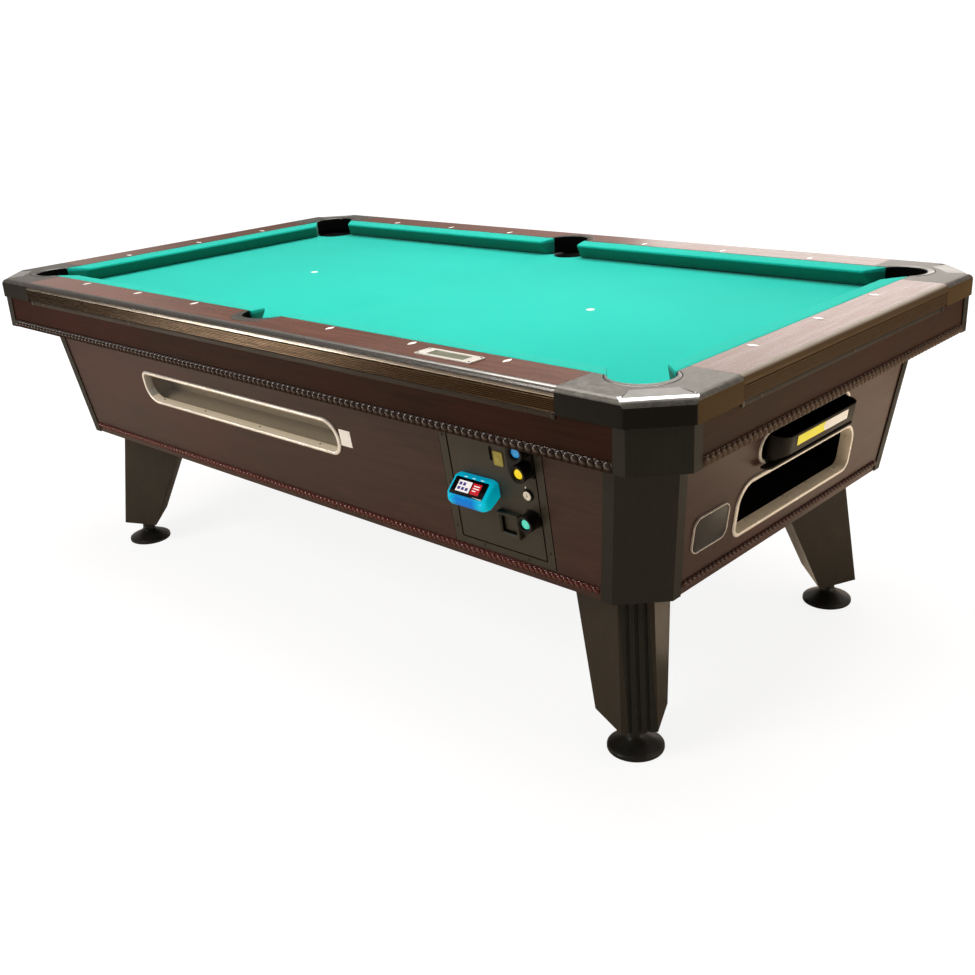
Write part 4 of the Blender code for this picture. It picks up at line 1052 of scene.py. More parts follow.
for tag, sx, sy in CORNERS:
    flip = Matrix.Diagonal((sx, sy, 1, 1))
    add("cast_corner_" + tag, moved(casting, flip), [CAST_TOP, CAST_BLACK, POLISHED, FACET, VOID, CAST_END_LIT], "cabinet", "casting_metal",
        ("corner_casting_" + tag,))
    add("pocket_ring_" + tag, moved(ring, flip), [RING_ALLOY, VOID], "cabinet", "casting_metal")
    add("pocket_boot_" + tag, boot(sx * 0.974, sy * 0.496, 0.0550, 0.7165, 0.7592), RUBBER, "cabinet", "black_plastic")


# --------------------------------------------------------------- side castings
def side_crescent():
    feather = NY + RAIL_IN + 0.0003
    r1, cy, r2 = 0.0622 - 0.0005, 0.5215, 0.0573
    a = math.degrees(math.asin((feather - 0.545) / r1))
    b = math.degrees(math.asin((feather - cy) / r2))
    mesh = plate(arc(0, 0.545, r1, a, 180 - a, 56) + arc(0, cy, r2, 180 - b, b, 48), 0.7645, RAIL_TOP + 0.0010)
    bevelled(mesh, 0.0018, 3, 40)
    for poly in mesh.polygons:
        c, n = poly.center, poly.normal
        inside = n.y < -0.1 or abs(n.z) < 0.3
        poly.material_index = 1 if inside and c.z < 0.8035 else 0
    return mesh


crescent = side_crescent()
for side, sy in (("near", -1), ("far", 1)):
    flip = Matrix.Diagonal((1, sy, 1, 1))
    add("side_rim_" + side, moved(crescent, flip), [RIM_DARK, VOID], "cabinet", "casting_metal", ("side_casting_" + side,))
    add("side_boot_" + side, boot(0, sy * 0.530, 0.0440, 0.7165, 0.7592), RUBBER, "cabinet", "black_plastic")

# ---------------------------------------------------------------- cabinet sides
# the upright board above the rope moulding gets darker, duller tones than the leaning wall, on the long sides darker
# still as painted shade, and the inner faces are bare dark board
def side_face(ax, ay):
    def pick(c, n):
        if n.x * ax + n.y * ay < -0.5:
            return 2
        return 1 if abs(n.z) < 0.05 and c.z > 0.64 else 0
    return pick


paint("front_side", LAM_X, APRON_MX_SHADED, UNDER, pick=side_face(0, -1))
paint("rear_side", LAM_X, APRON_MX_SHADED, UNDER, pick=side_face(0, 1))
paint("foot_end", LAM_Y, APRON_MY, UNDER, pick=side_face(1, 0))
paint("head_end", LAM_Y, APRON_MY, UNDER, pick=side_face(-1, 0))


def leg_face(c, n):
    """1 on the grooved corner face, 0 on the laminated sides."""
    off = (abs(c.y) - abs(c.x)) * 0.70711 + 0.3434
    out = (math.copysign(n.x, n.x * c.x) + math.copysign(n.y, n.y * c.y)) * 0.70711
    return 1 if abs(off) < 0.030 and out > -0.3 and abs(n.z) < 0.6 else 0


for tag, _, _ in CORNERS:
    paint("corner_post_" + tag, COVER)
    paint("leg_" + tag, LEG, COVER, pick=leg_face)
    soften("corner_post_" + tag, 0.0022)
    soften("leg_" + tag, 0.0012)
paint("bottom_panel", UNDER)
paint("slate_bed", SLATE)
paint("ball_runway_near", BLACK)
paint("ball_runway_far", BLACK)
paint("cash_box", STEEL)
paint("ball_gate", STEEL)


# retaining strips under the edge trims, with a screw every third of a metre
def strip_mesh(m, half):
    prof = fillet([(0.7505, 0.0002), (0.7505, 0.0018), (0.7622, 0.0018), (0.7622, 0.0002)], [0, 0.0006, 0.0006, 0], 3)
    rows = [[Vector((x, p.x, p.y)) for p in prof] for x in (-half, half)]
    mesh = rings(rows)
    mesh.transform(m)
    return smooth(mesh, 40)


STRIP = dark_shell("retaining_strip_bronze", (0.020, 0.0150, 0.0100), (0.030, 0.0225, 0.0150), (0.38, 0.50), False, 0.22)
STRIP_SCREW = polished("strip_screw_bronze", (0.20, 0.13, 0.085), 0.36)
heads, caps = [], []
for name, m, half in (("near", A_FRONT, 0.885), ("far", A_REAR, 0.885), ("foot", A_FOOT, 0.400), ("head", A_HEAD, 0.400)):
    add("retaining_strip_" + name, strip_mesh(m, half), STRIP, "cabinet", "bronze_trim")
    n = 5 if half > 0.5 else 3
    heads += [(m, (-1 + 2 * i / (n - 1)) * (half - 0.055), 0.7562, 0.0018) for i in range(n)]
    for s in (-1, 1):
        cap = plate(rounded(s * (half + 0.0045) - 0.004, 0.7500, s * (half + 0.0045) + 0.004, 0.7624, (0.0015,) * 4, n=4), 0.0002, 0.0030)
        cap = bevelled(cap, 0.0006, 2)
        cap.transform(m)
        caps.append(cap)
screws("retaining_screws", heads, STRIP_SCREW, scale=0.8)
add("strip_end_caps", smooth(merged(caps)), BLACK, "cabinet", "black_plastic")


# packing strips that close the slit between the apron frame and the rails
packing = []
for s in (-1, 1):
    packing.append(plate([(-0.893, s * 0.6173 - 0.0022), (0.893, s * 0.6173 - 0.0022), (0.893, s * 0.6173 + 0.0022), (-0.893, s * 0.6173 + 0.0022)], 0.7597, 0.7640))
    packing.append(plate([(s * 1.1020 - 0.0022, -0.408), (s * 1.1020 + 0.0022, -0.408), (s * 1.1020 + 0.0022, 0.408), (s * 1.1020 - 0.0022, 0.408)], 0.7597, 0.7640))
add("rail_packing", merged([bevelled(m, 0.0004, 2) for m in packing]), RUBBER, "cabinet", "black_plastic")


# rope mouldings
def rope(x0, x1, h, long, short, deep, pitch, tilt, m, seg=16, steps=6):
    """Rope moulding along local x at height h: tilted strand ends side by side on a flat backing."""
    count = int(round((x1 - x0) / pitch))
    bm = bmesh.new()
    co, si = math.cos(math.radians(tilt)), math.sin(math.radians(tilt))
    for i in range(count):
        cx = x0 + (x1 - x0) * (i + 0.5) / count
        rows = []
        for k in range(1, steps + 1):
            t = math.radians(90) * k / steps
            ring_v = []
            for j in range(seg):
                a = 2 * math.pi * j / seg
                p, q = short * math.sin(t) * math.cos(a), long * math.sin(t) * math.sin(a)
                # upper end leans towards -x, and each strand is fuller on its lower side
                z = 0.0016 + deep * math.cos(t) ** 0.85 * (1 + 0.10 * math.cos(a))
                ring_v.append(bm.verts.new((cx + p * co - q * si, h + p * si + q * co, z)))
            rows.append(ring_v)
        tip = bm.verts.new((cx, h, 0.0016 + deep))
        base = [bm.verts.new((v.co.x, v.co.y, 0.0003)) for v in rows[-1]]
        for j in range(seg):
            n = (j + 1) % seg
            bm.faces.new((tip, rows[0][j], rows[0][n]))
            for a, b in zip(rows + [base], rows[1:] + [base]):
                if a is not b:
                    bm.faces.new((a[j], b[j], b[n], a[n]))
        bm.faces.new(list(reversed(base)))
    bmesh.ops.recalc_face_normals(bm, faces=bm.faces)
    mesh = bpy.data.meshes.new("rope")
    bm.to_mesh(mesh)
    bm.free()
    reach = long * co
    back = bevelled(plate(rounded(x0 - 0.001, h - reach * 0.96, x1 + 0.001, h + reach * 0.96, (0.001,) * 4, n=3), 0.0002, 0.0020), 0.0006, 2)
    mesh = merged([mesh, back])
    mesh.transform(m)
    return smooth(mesh, 60)


UPPER = (0.6892, 0.0106, 0.0077, 0.0058, 0.0166, 32)
LOWER = (up(0.3862), 0.0092, 0.0050, 0.0052, 0.0139, 50)
for name, m, half, shape, mat in (("upper_near", A_FRONT, 1.0070, UPPER, ROPE_UP), ("upper_far", A_REAR, 1.0070, UPPER, ROPE_UP),
                                  ("upper_foot", A_FOOT, 0.5220, UPPER, ROPE_END), ("upper_head", A_HEAD, 0.5220, UPPER, ROPE_END),
                                  ("lower_near", FRONT, 0.8830, LOWER, ROPE_LOW), ("lower_far", REAR, 0.8830, LOWER, ROPE_LOW),
                                  ("lower_foot", FOOT, 0.3955, LOWER, ROPE_LOW_END), ("lower_head", HEAD, 0.3955, LOWER, ROPE_LOW_END)):
    add("rope_" + name, rope(-half, half, *shape, m), mat, "cabinet", "rope_moulding")

# ------------------------------------------------------------------- levellers
FOOT_PROFILE = [(0.0, 0.1060), (0.0088, 0.1060), (0.0090, 0.1050), (0.0090, 0.0560), (0.0150, 0.0553), (0.0162, 0.0540), (0.0168, 0.0380),
                (0.0178, 0.0330), (0.0205, 0.0290), (0.0260, 0.0252), (0.0340, 0.0208), (0.0430, 0.0163), (0.0520, 0.0120), (0.0560, 0.0097),
                (0.0576, 0.0082), (0.0580, 0.0066), (0.0580, 0.0022), (0.0574, 0.0008), (0.0560, 0.0000), (0.0, 0.0)]
for tag, sx, sy in CORNERS:
    add("leveller_foot_" + tag, lathe(FOOT_PROFILE, 72, Matrix.Translation((sx * 0.891, sy * 0.404, 0))), LEVEL, "foot_" + tag,
        "leveller_rubber", ("leveller_" + tag,))

# --------------------------------------------------------------- control panel
paint("control_frame", PANEL)
paint("coin_door", PANEL)
paint("coin_return_flap", PANEL)
frame_screws = [(0.5325, 0.632), (0.5325, 0.530), (0.5325, 0.432), (0.7745, 0.632), (0.7745, 0.530), (0.7745, 0.432), (0.600, 0.4040), (0.716, 0.4040)]
screws("frame_screws", [(FRONT, x, up(z), -0.0002) for x, z in frame_screws], PANEL, scale=1.05, slot="door_paint")


def term_profile():
    """(outwards, up the slope) outline of the payment terminal, with a bumper lip along its lower edge."""
    tz = up(0.538)
    pts = [(0.0004, -0.0130), (0.0345, -0.0285), (0.0435, -0.0262), (0.0478, -0.0185), (0.0478, -0.0108), (0.0452, -0.0082),
           (0.0452, -0.0068), (0.0466, -0.0054), (0.0462, -0.0020), (0.0140, 0.0226), (0.0100, 0.0236), (0.0004, 0.0236)]
    radii = [0.0015, 0.004, 0.004, 0.003, 0.0015, 0.0006, 0.0006, 0.0012, 0.003, 0.003, 0.002, 0.001]
    return [Vector((p.x, p.y + tz)) for p in fillet(pts, radii, 5)]


def terminal():
    prof = term_profile()
    mid_v = up(0.538) - 0.0030
    x0, x1, r = 0.5635, 0.6665, 0.0150
    rows = []
    ends = [(r * (1 - math.cos(math.radians(a))), r * (1 - math.sin(math.radians(a)))) for a in (0, 15, 30, 45, 60, 75, 90)]

    def row(x, inset):
        out = []
        for p in prof:
            k = 1 - inset * 26
            n = p.x if p.x < 0.002 else p.x * k
            out.append(Vector((x, mid_v + (p.y - mid_v) * k, n)))
        return out

    for t, d in ends:
        rows.append(row(x0 + t, d * 0.62))
    for t, d in reversed(ends):
        rows.append(row(x1 - t, d * 0.62))
    mesh = rings(rows)
    mesh.transform(FRONT)
    return smooth(mesh, 45)


add("terminal_shell", terminal(), CYAN, "coin_door", "cyan_plastic", ("pay_terminal",))
# screen frame: x along, y up the screen, z out of it
tz = up(0.538)
s_low, s_high = Vector((0.0462, -0.0020 + tz)), Vector((0.0140, 0.0226 + tz))
along = (s_high - s_low).normalized()
out_n = Vector((along.y, -along.x)) if along.y > 0 else Vector((-along.y, along.x))
if out_n.x < 0:
    out_n = -out_n
mid = (s_low + s_high) / 2
SCREEN_M = FRONT @ Matrix(((1, 0, 0, 0.6155), (0, along.y, out_n.y, mid.y), (0, along.x, out_n.x, mid.x), (0, 0, 0, 1)))
half_s = (s_high - s_low).length / 2 - 0.0018
glass = bevelled(plate(rounded(-0.0425, -half_s, 0.0425, half_s, (0.0030,) * 4, n=6), -0.0018, 0.0005), 0.0003, 2)
glass.transform(SCREEN_M)
add("terminal_glass", glass, SCREEN, "coin_door", "screen_glass")


def tile(x0, y0, x1, y1, z, mat, name):
    mesh = bevelled(plate(rounded(x0, y0, x1, y1, (0.0006,) * 4, n=3), z - 0.0002, z + 0.0001), 0.00004, 1)
    mesh.transform(SCREEN_M)
    return add(name, mesh, mat, "coin_door", "screen_glass")


hs = half_s
tile(-0.0300, -hs * 0.60, 0.0040, hs * 0.66, 0.0006, BLOCK_W, "screen_tile_left")
tile(0.0070, -hs * 0.60, 0.0290, hs * 0.66, 0.0006, BLOCK_R, "screen_tile_right")


def marks(name, boxes, mat):
    mesh = merged([plate([(x0, hs * y0), (x1, hs * y0), (x1, hs * y1), (x0, hs * y1)], 0.0006, 0.0008) for x0, y0, x1, y1 in boxes])
    mesh.transform(SCREEN_M)
    add(name, mesh, mat, "coin_door", "screen_glass")


marks("screen_marks_blue", [(-0.0270 + 0.0098 * i, -0.40 + 0.52 * j, -0.0202 + 0.0098 * i, -0.06 + 0.52 * j) for i in (0, 1, 2) for j in (0, 1)
                            if (i, j) != (2, 1)], BLOCK_B)
marks("screen_marks_pale", [(0.0105, 0.30, 0.0255, 0.42), (0.0105, 0.02, 0.0255, 0.14), (0.0105, -0.26, 0.0195, -0.14)], BLOCK_W)
lamps = []
for dx in (-0.020, 0.001, 0.023):
    dome = lathe([(0, 0.0011), (0.0016, 0.0009), (0.0026, 0.0003), (0.0027, -0.0004), (0, -0.0004)], 20)
    dome.transform(Matrix.Translation((dx, half_s + 0.0026, -0.0004)) @ Matrix.Diagonal((1.7, 0.45, 1, 1)))
    dome.transform(SCREEN_M)
    lamps.append(dome)
add("terminal_lights", merged(lamps), LED, "coin_door", "white_inlay")

# buttons
BARREL = [(0.0, 0.0006), (0.0182, 0.0006), (0.0182, 0.0040), (0.0178, 0.0060), (0.0182, 0.0265), (0.0180, 0.0280), (0.0172, 0.0288), (0.0140, 0.0288),
          (0.0124, 0.0278), (0.0112, 0.0250), (0.0107, 0.0230), (0.0107, 0.0215), (0.0120, 0.0205), (0.0120, 0.0045), (0.0, 0.0045)]
CAP = [(0.0, 0.0252), (0.0042, 0.0251), (0.0070, 0.0248), (0.0079, 0.0244), (0.0086, 0.0250), (0.0094, 0.0248), (0.0100, 0.0240), (0.0102, 0.0228),
       (0.0102, 0.0092), (0.0, 0.0092)]
Y_BLUE, Y_YELLOW, Y_GREEN = up(0.6465), up(0.6040), up(0.500)
upper = bevelled(plate(rounded(0.6990, Y_YELLOW - 0.0175, BUTTON_X + 0.0172, up(0.6500), (0.003,) * 4, n=6), 0.0004, 0.0036), 0.0008, 2)
lower = bevelled(plate(rounded(BUTTON_X - 0.0172, Y_GREEN - 0.0172, BUTTON_X + 0.0172, Y_GREEN + 0.0172, (0.008,) * 4, n=6), 0.0004, 0.0036), 0.0008, 2)
for nm, base, ys, node in (("barrel_pair", upper, (Y_BLUE, Y_YELLOW), "button_barrels_upper"), ("barrel_single", lower, (Y_GREEN,), "button_barrel_lower")):
    mesh = merged([base] + [lathe(BARREL, 48, Matrix.Translation((BUTTON_X, y, 0))) for y in ys])
    mesh.transform(FRONT)
    add(nm, smooth(mesh, 35), BARREL_BLACK, "coin_door", "black_plastic", (node,))
for nm, y, mat, body, node, slot in (("cap_dome_blue", Y_BLUE, BLUE, "blue_button", "button_blue", "blue_cap"),
                                     ("cap_dome_yellow", Y_YELLOW, YELLOW, "yellow_button", "button_yellow", "yellow_cap"),
                                     ("cap_dome_green", Y_GREEN, TEAL, "green_button", "button_green", "green_cap")):
    add(nm, lathe(CAP, 48, FRONT @ Matrix.Translation((BUTTON_X, y, 0))), mat, body, slot, (node,))

# lock: plated face with a keyway, seen in a shallow collar
LOCK_PLATE = satin("lock_plate_nickel", (0.88, 0.83, 0.74), 0.25, 0.26)
LOCK_M = FRONT @ Matrix.Translation((LOCK_X, up(LOCK_Z), 0))
face = lathe([(0, 0.0052), (0.0066, 0.0052), (0.0074, 0.0046), (0.0080, 0.0050), (0.0092, 0.0050), (0.0095, 0.0044), (0.0095, 0.0032),
              (0.0116, 0.0030), (0.0118, 0.0024), (0.0118, 0.0004), (0.0095, 0.0004), (0.0095, -0.0300), (0, -0.0300)], 48)
key = plate(rounded(-0.0009, -0.0042, 0.0009, 0.0042, (0.0004,) * 4, n=3), 0.0018, 0.02)
key2 = plate(rounded(-0.0020, -0.0010, 0.0020, 0.0012, (0.0004,) * 4, n=3), 0.0030, 0.02)
cam = bevelled(plate(rounded(-0.006, -0.006, 0.006, 0.030, (0.005,) * 4, n=5), -0.0295, -0.0270), 0.0004, 1)
face = boolean(face, ("DIFFERENCE", key), ("DIFFERENCE", key2))
mesh = merged([smooth(face, 35), cam])
mesh.transform(LOCK_M)
lock_inv = LOCK_M.inverted()
for poly in mesh.polygons:
    c = lock_inv @ poly.center
    poly.material_index = 1 if math.hypot(c.x, c.y) > 0.0093 and c.z > 0.0 else 0
add("lock_face", smooth(mesh, 35), [LOCK_PLATE, BARREL_BLACK], "lock_cylinder", "plated_steel", ("door_lock",))
stop = lathe([(0, 0.0022), (0.0014, 0.0019), (0.0020, 0.0008), (0.0020, 0.0001), (0, 0.0001)], 20, FRONT @ Matrix.Translation((LOCK_X - 0.004, up(LOCK_Z) + 0.0150, 0)))
add("lock_stop", stop, BRIGHT, "coin_door", "plated_steel")

# coin-return cup: bezel with a sloped mouth and a boxed recess
cy = up(CUP_Z)
path = [(CUP_X - 0.0180, cy - 0.0180), (CUP_X + 0.0180, cy - 0.0180), (CUP_X + 0.0180, cy + 0.0180), (CUP_X - 0.0180, cy + 0.0180)]
prof = [(0.0018, -0.0320), (0.0018, 0.0004), (0.0072, 0.0004), (0.0080, 0.0012), (0.0080, 0.0098), (0.0072, 0.0114), (0.0058, 0.0120), (0.0036, 0.0118),
        (0.0016, 0.0104), (0.0, 0.0080), (0.0, -0.0300)]
bezel = sweep_loop(path, prof, Matrix.Identity(4))
backing = plate([(CUP_X - 0.0197, cy - 0.0197), (CUP_X + 0.0197, cy - 0.0197), (CUP_X + 0.0197, cy + 0.0197), (CUP_X - 0.0197, cy + 0.0197)], -0.0322, -0.0302)
mesh = merged([bezel, backing])
mesh.transform(FRONT)
cup_inv = FRONT.inverted()
for poly in mesh.polygons:
    c = cup_inv @ poly.center
    poly.material_index = 1 if max(abs(c.x - CUP_X), abs(c.y - cy)) < 0.0186 and c.z < 0.0105 else 0
add("cup_bezel", smooth(mesh, 25), [PANEL, BARREL_BLACK], "coin_door", "black_plastic", ("coin_cup",))

# dark joint around three sides of the door; on the hinge side the line is part of the door
d0, d1, d2, d3 = DOOR
joint = plate([(d0 + 0.0004, d1 - 0.0024), (d2 + 0.0024, d1 - 0.0024), (d2 + 0.0024, d3 + 0.0024), (d0 + 0.0004, d3 + 0.0024), (d0 + 0.0004, d3 + 0.0004),
               (d2 + 0.0004, d3 + 0.0004), (d2 + 0.0004, d1 - 0.0004), (d0 + 0.0004, d1 - 0.0004)], 0.0001, 0.0005)
joint = bevelled(joint, 0.0001, 1)
joint.transform(FRONT)
add("door_joint", joint, VOID, "cabinet", "black_plastic")
hinge_line = bevelled(plate([(d0 + 0.0004, d1 + 0.0006), (d0 + 0.0022, d1 + 0.0006), (d0 + 0.0022, d3 - 0.0006), (d0 + 0.0004, d3 - 0.0006)], 0.0001, 0.0005), 0.0001, 1)
hinge_line.transform(FRONT)
add("door_hinge_line", hinge_line, VOID, "coin_door", "black_plastic")
# and a painted shadow: a dark line along the right edge of the frame, where the gap between frame and wall lies in
# shade
edge_line = bevelled(plate([(0.7842, up(0.3975)), (0.7858, up(0.3975)), (0.7858, up(0.6630)), (0.7842, up(0.6630))], 0.0001, 0.0005), 0.0001, 1)
edge_line.transform(FRONT)
add("frame_edge_line", edge_line, VOID, "cabinet", "black_plastic")

# small cast plate beside the slot, its face left plain with a raised border
tok = sweep_loop(rounded(0.6655, up(0.5965), 0.6865, up(0.6235), (0.0015,) * 4, n=4),
                 [(-0.0012, 0.0003), (0.0015, 0.0003), (0.0015, 0.0014), (0.0009, 0.0020), (-0.0004, 0.0020), (-0.0012, 0.0012)], FRONT)
field = bevelled(plate(rounded(0.6660, up(0.5970), 0.6860, up(0.6230), (0.0012,) * 4, n=4), 0.0003, 0.0011), 0.0002, 1)
dome = lathe([(0, 0.0021), (0.0030, 0.0020), (0.0056, 0.0017), (0.0066, 0.0010), (0, 0.0010)], 32, Matrix.Translation((0.676, up(0.610), 0)))
field = merged([field, dome])
field.transform(FRONT)
add("token_plate", smooth(merged([tok, field]), 35), TOKEN, "coin_door", "yellow_label")
guide = sweep_loop(rounded(0.6550, up(0.603) + 0.0002, 0.6600, up(0.631) - 0.0002, (0.0010,) * 4, n=3),
                   [(0.0004, 0.0002), (0.0020, 0.0002), (0.0019, 0.0007), (0.0012, 0.0009), (0.0005, 0.0006)], FRONT)
add("slot_guide", smooth(guide, 40), PANEL, "coin_door", "door_paint")

# ---------------------------------------------------------------- ball window
TRIM_PROFILE = [(-0.0026, -0.0180), (-0.0026, 0.0022), (-0.0020, 0.0034), (-0.0004, 0.0042), (0.0030, 0.0042), (0.0054, 0.0032), (0.0065, 0.0014), (0.0065, 0.0004),
                (-0.0006, 0.0004), (-0.0006, -0.0180)]
loop = rounded(*WINDOW, WINDOW_R)
frame_mesh = sweep_loop(loop, TRIM_PROFILE, FRONT)
smooth(frame_mesh, 35)
inv = FRONT.inverted()
to_wall = inv.to_3x3()
# partly a cream ledge, partly painted light: the upward inner faces of the sleeve get the pale ledge board, its tone
# raised for the light that falls on it
for poly in frame_mesh.polygons:
    inside = (inv @ poly.center).z < 0.0005
    poly.material_index = (2 if (to_wall @ poly.normal).y > 0.8 else 1) if inside else 0
add("window_frame", frame_mesh, [BRIGHT, SATIN, LEDGE], "cabinet", "bright_trim", ("ball_window_trim",))
screws("ledge_screws", [(FRONT @ Matrix.Translation((x, WINDOW[1] + 0.0027, -0.010)) @ Matrix.Rotation(-math.pi / 2, 4, "X"), 0, 0, 0)
                        for x in (-0.500, -0.320, -0.100, 0.120)], STRIP_SCREW, scale=0.8)
paint("ball_window_pane", PANE)
front_inv = FRONT.to_3x3().inverted()
# painted light and shade: upward faces of the rack low in the window get the darker floor tone, the shaded rest the
# paler back tone
paint("ball_rack", BACK_BOARD, RACK_FLOOR, pick=lambda c, n: 1 if (front_inv @ n).y > 0.6 and (inv @ c).y < WINDOW[1] + 0.01 else 0)
label = bevelled(plate(rounded(0.2105, up(0.5430), 0.2465, up(0.5815), (0.0012,) * 4, n=4), 0.0002, 0.0007), 0.0002, 1)
label.transform(FRONT)
add("plain_label", label, WHITE, "cabinet", "white_inlay")

# ----------------------------------------------------------------- ball return
loop = rounded(*RETURN, RETURN_R)
mouth = sweep_loop(loop, [(-0.0026, -0.0230), (-0.0026, 0.0022), (-0.0020, 0.0034), (-0.0004, 0.0042), (0.0030, 0.0042), (0.0054, 0.0032), (0.0065, 0.0014),
                          (0.0065, 0.0004), (-0.0006, 0.0004), (-0.0006, -0.0230)], FOOT)
smooth(mouth, 35)
inv = FOOT.inverted()
for poly in mouth.polygons:
    poly.material_index = 1 if (inv @ poly.center).z < 0.0005 else 0
add("return_frame", mouth, [BRIGHT, SLEEVE], "cabinet", "bright_trim", ("ball_return",))
well = sweep_loop(loop, [(-0.0008, -0.1600), (-0.0008, -0.0234), (-0.0026, -0.0234), (-0.0026, -0.1585)], FOOT)
rear = plate([tuple(p) for p in offset_loop(loop, -0.0008)], -0.1600, -0.1585)
rear.transform(FOOT)
add("return_well", smooth(merged([well, rear]), 35), VOID, "cabinet", "black_plastic")
screws("return_screws", [(FOOT @ Matrix.Translation((x, RETURN[1] + 0.0027, -0.012)) @ Matrix.Rotation(-math.pi / 2, 4, "X"), 0, 0, 0) for x in (-0.205, 0.0, 0.205)],
       STEEL, scale=0.8)

# cue-ball outlet: bright rim, black scoop, lower lip
loop = rounded(*CUE, CUE_R, n=20)
rim = sweep_loop(loop, [(-0.0020, 0.0004), (-0.0020, 0.0022), (-0.0010, 0.0034), (0.0010, 0.0040), (0.0040, 0.0036), (0.0052, 0.0022), (0.0054, 0.0004)], FOOT)
add("outlet_rim", smooth(rim, 40), BRIGHT, "cabinet", "bright_trim", ("cue_ball_tray",))
lining = sweep_loop(loop, [(-0.0003, -0.0190), (-0.0003, 0.0003), (-0.0018, 0.0003), (-0.0018, -0.0190)], FOOT)
add("outlet_lining", smooth(lining, 40), VOID, "cabinet", "black_plastic")
SCOOP = 0.60
tray_low, tray_high = CUE[1] - 0.0022, up(0.6150)


def tray_outline(t, w=0.1560, d=0.0370, r=0.0300, n=14):
    w, d, r = w - t, d - t, r - t
    return [(-w, 0.0)] + arc(-w + r, -d + r, r, 180, 270, n) + arc(w - r, -d + r, r, 270, 360, n) + [(w, 0.0)]


def tray_solid(points, h0, h1, n0):
    mesh = plate(points, h0, h1)
    mesh.transform(Matrix(((1, 0, 0, 0), (0, 0, 1, 0), (0, -1, 0, n0), (0, 0, 0, 1))))
    for v in mesh.vertices:
        if v.co.y < (h0 + h1) / 2:
            v.co.y += SCOOP * max(0.0, v.co.z - 0.0034)
    return tidy(mesh, 1e-5)


bin_mesh = boolean(tray_solid(tray_outline(0.0), tray_low, tray_high, 0.0010),
                   ("DIFFERENCE", tray_solid(tray_outline(0.0028), CUE[1] + 0.0008, tray_high + 0.05, 0.0010)),
                   ("DIFFERENCE", plate(rounded(-0.1530, CUE[1] + 0.0008, 0.1530, CUE[3] - 0.0003, (0.003, 0.003, 0.022, 0.022)), -0.01, 0.0036)))
bevelled(bin_mesh, 0.0009, 2, 40)
bin_mesh.transform(FOOT)
add("outlet_scoop", bin_mesh, SCOOP_BLACK, "cabinet", "black_plastic")
lip = plate([(-0.176, 0.0)] + arc(-0.160, -0.004, 0.016, 180, 270, 10) + arc(0.160, -0.004, 0.016, 270, 360, 10) + [(0.176, 0.0)], 0.0, 0.0055)
lip.transform(FOOT @ Matrix.Translation((0, CUE[1] - 0.0075, 0.0042)) @ Matrix(((1, 0, 0, 0), (0, 0, 1, 0), (0, -1, 0, 0), (0, 0, 0, 1))))
add("outlet_lip", bevelled(lip, 0.0018, 3), SCOOP_BLACK, "cabinet", "black_plastic")
front_n = 0.0010 + 0.0370
for nm, x0, x1, radii, z, mat, slot in (("scoop_patch_yellow", -0.1070, 0.0060, (0.001,) * 4, 0.0003, PATCH_Y, "yellow_label"),
                                        ("scoop_patch_white", -0.0030, 0.0980, (0.0115, 0.001, 0.001, 0.0115), 0.0007, PATCH_W, "white_inlay")):
    h0, h1 = tray_high - 0.0245, tray_high - 0.0045
    mesh = bevelled(plate(rounded(x0, h0, x1, h1, radii, n=8), front_n + z - 0.0002, front_n + z + 0.0002), 0.0001, 1)
    mesh.transform(FOOT)
    add(nm, mesh, mat, "cabinet", slot)

# plain cast plate on the ball-return end: raised bright border, bare dark field
path = rounded(-0.3860, up(0.4420), -0.2660, up(0.5160), (0.020,) * 4, n=10)
border = sweep_loop(path, [(-0.0021, 0.0004), (0.0, 0.0004), (0.0, 0.0034), (-0.0004, 0.0042), (-0.0017, 0.0042), (-0.0021, 0.0032)], FOOT)
add("badge_border", smooth(border, 35), BRIGHT, "cabinet", "bright_trim")
field = bevelled(plate([tuple(p) for p in offset_loop(path, -0.0022)], 0.0003, 0.0026), 0.0006, 2)
field.transform(FOOT)
add("badge_field", field, BLACK, "cabinet", "black_plastic")

# ------------------------------------------------------------ counter on the rail
path = rounded(0.5420, -0.6035, 0.6830, -0.5605, (0.003,) * 4, n=6)
inner_path = rounded(0.5660, -0.5960, 0.6590, -0.5680, (0.0015,) * 4, n=6)
body = plate(path, RAIL_TOP + 0.0002, RAIL_TOP + 0.0026, [inner_path])
bevelled(body, 0.0006, 2)
add("counter_frame", body, CREAM, "cabinet", "bright_trim", ("rail_counter",))
glass = bevelled(plate(rounded(0.5661, -0.5959, 0.6589, -0.5681, (0.0014,) * 4, n=6), RAIL_TOP + 0.0003, RAIL_TOP + 0.0016), 0.0003, 2)
add("counter_display_glass", glass, LCD, "cabinet", "screen_glass")
screws("counter_screws", [(Matrix.Identity(4), x, y, RAIL_TOP + 0.0024) for x in (0.5480, 0.6770) for y in (-0.5985, -0.5655)], BLACK, scale=0.75, slot="black_plastic")

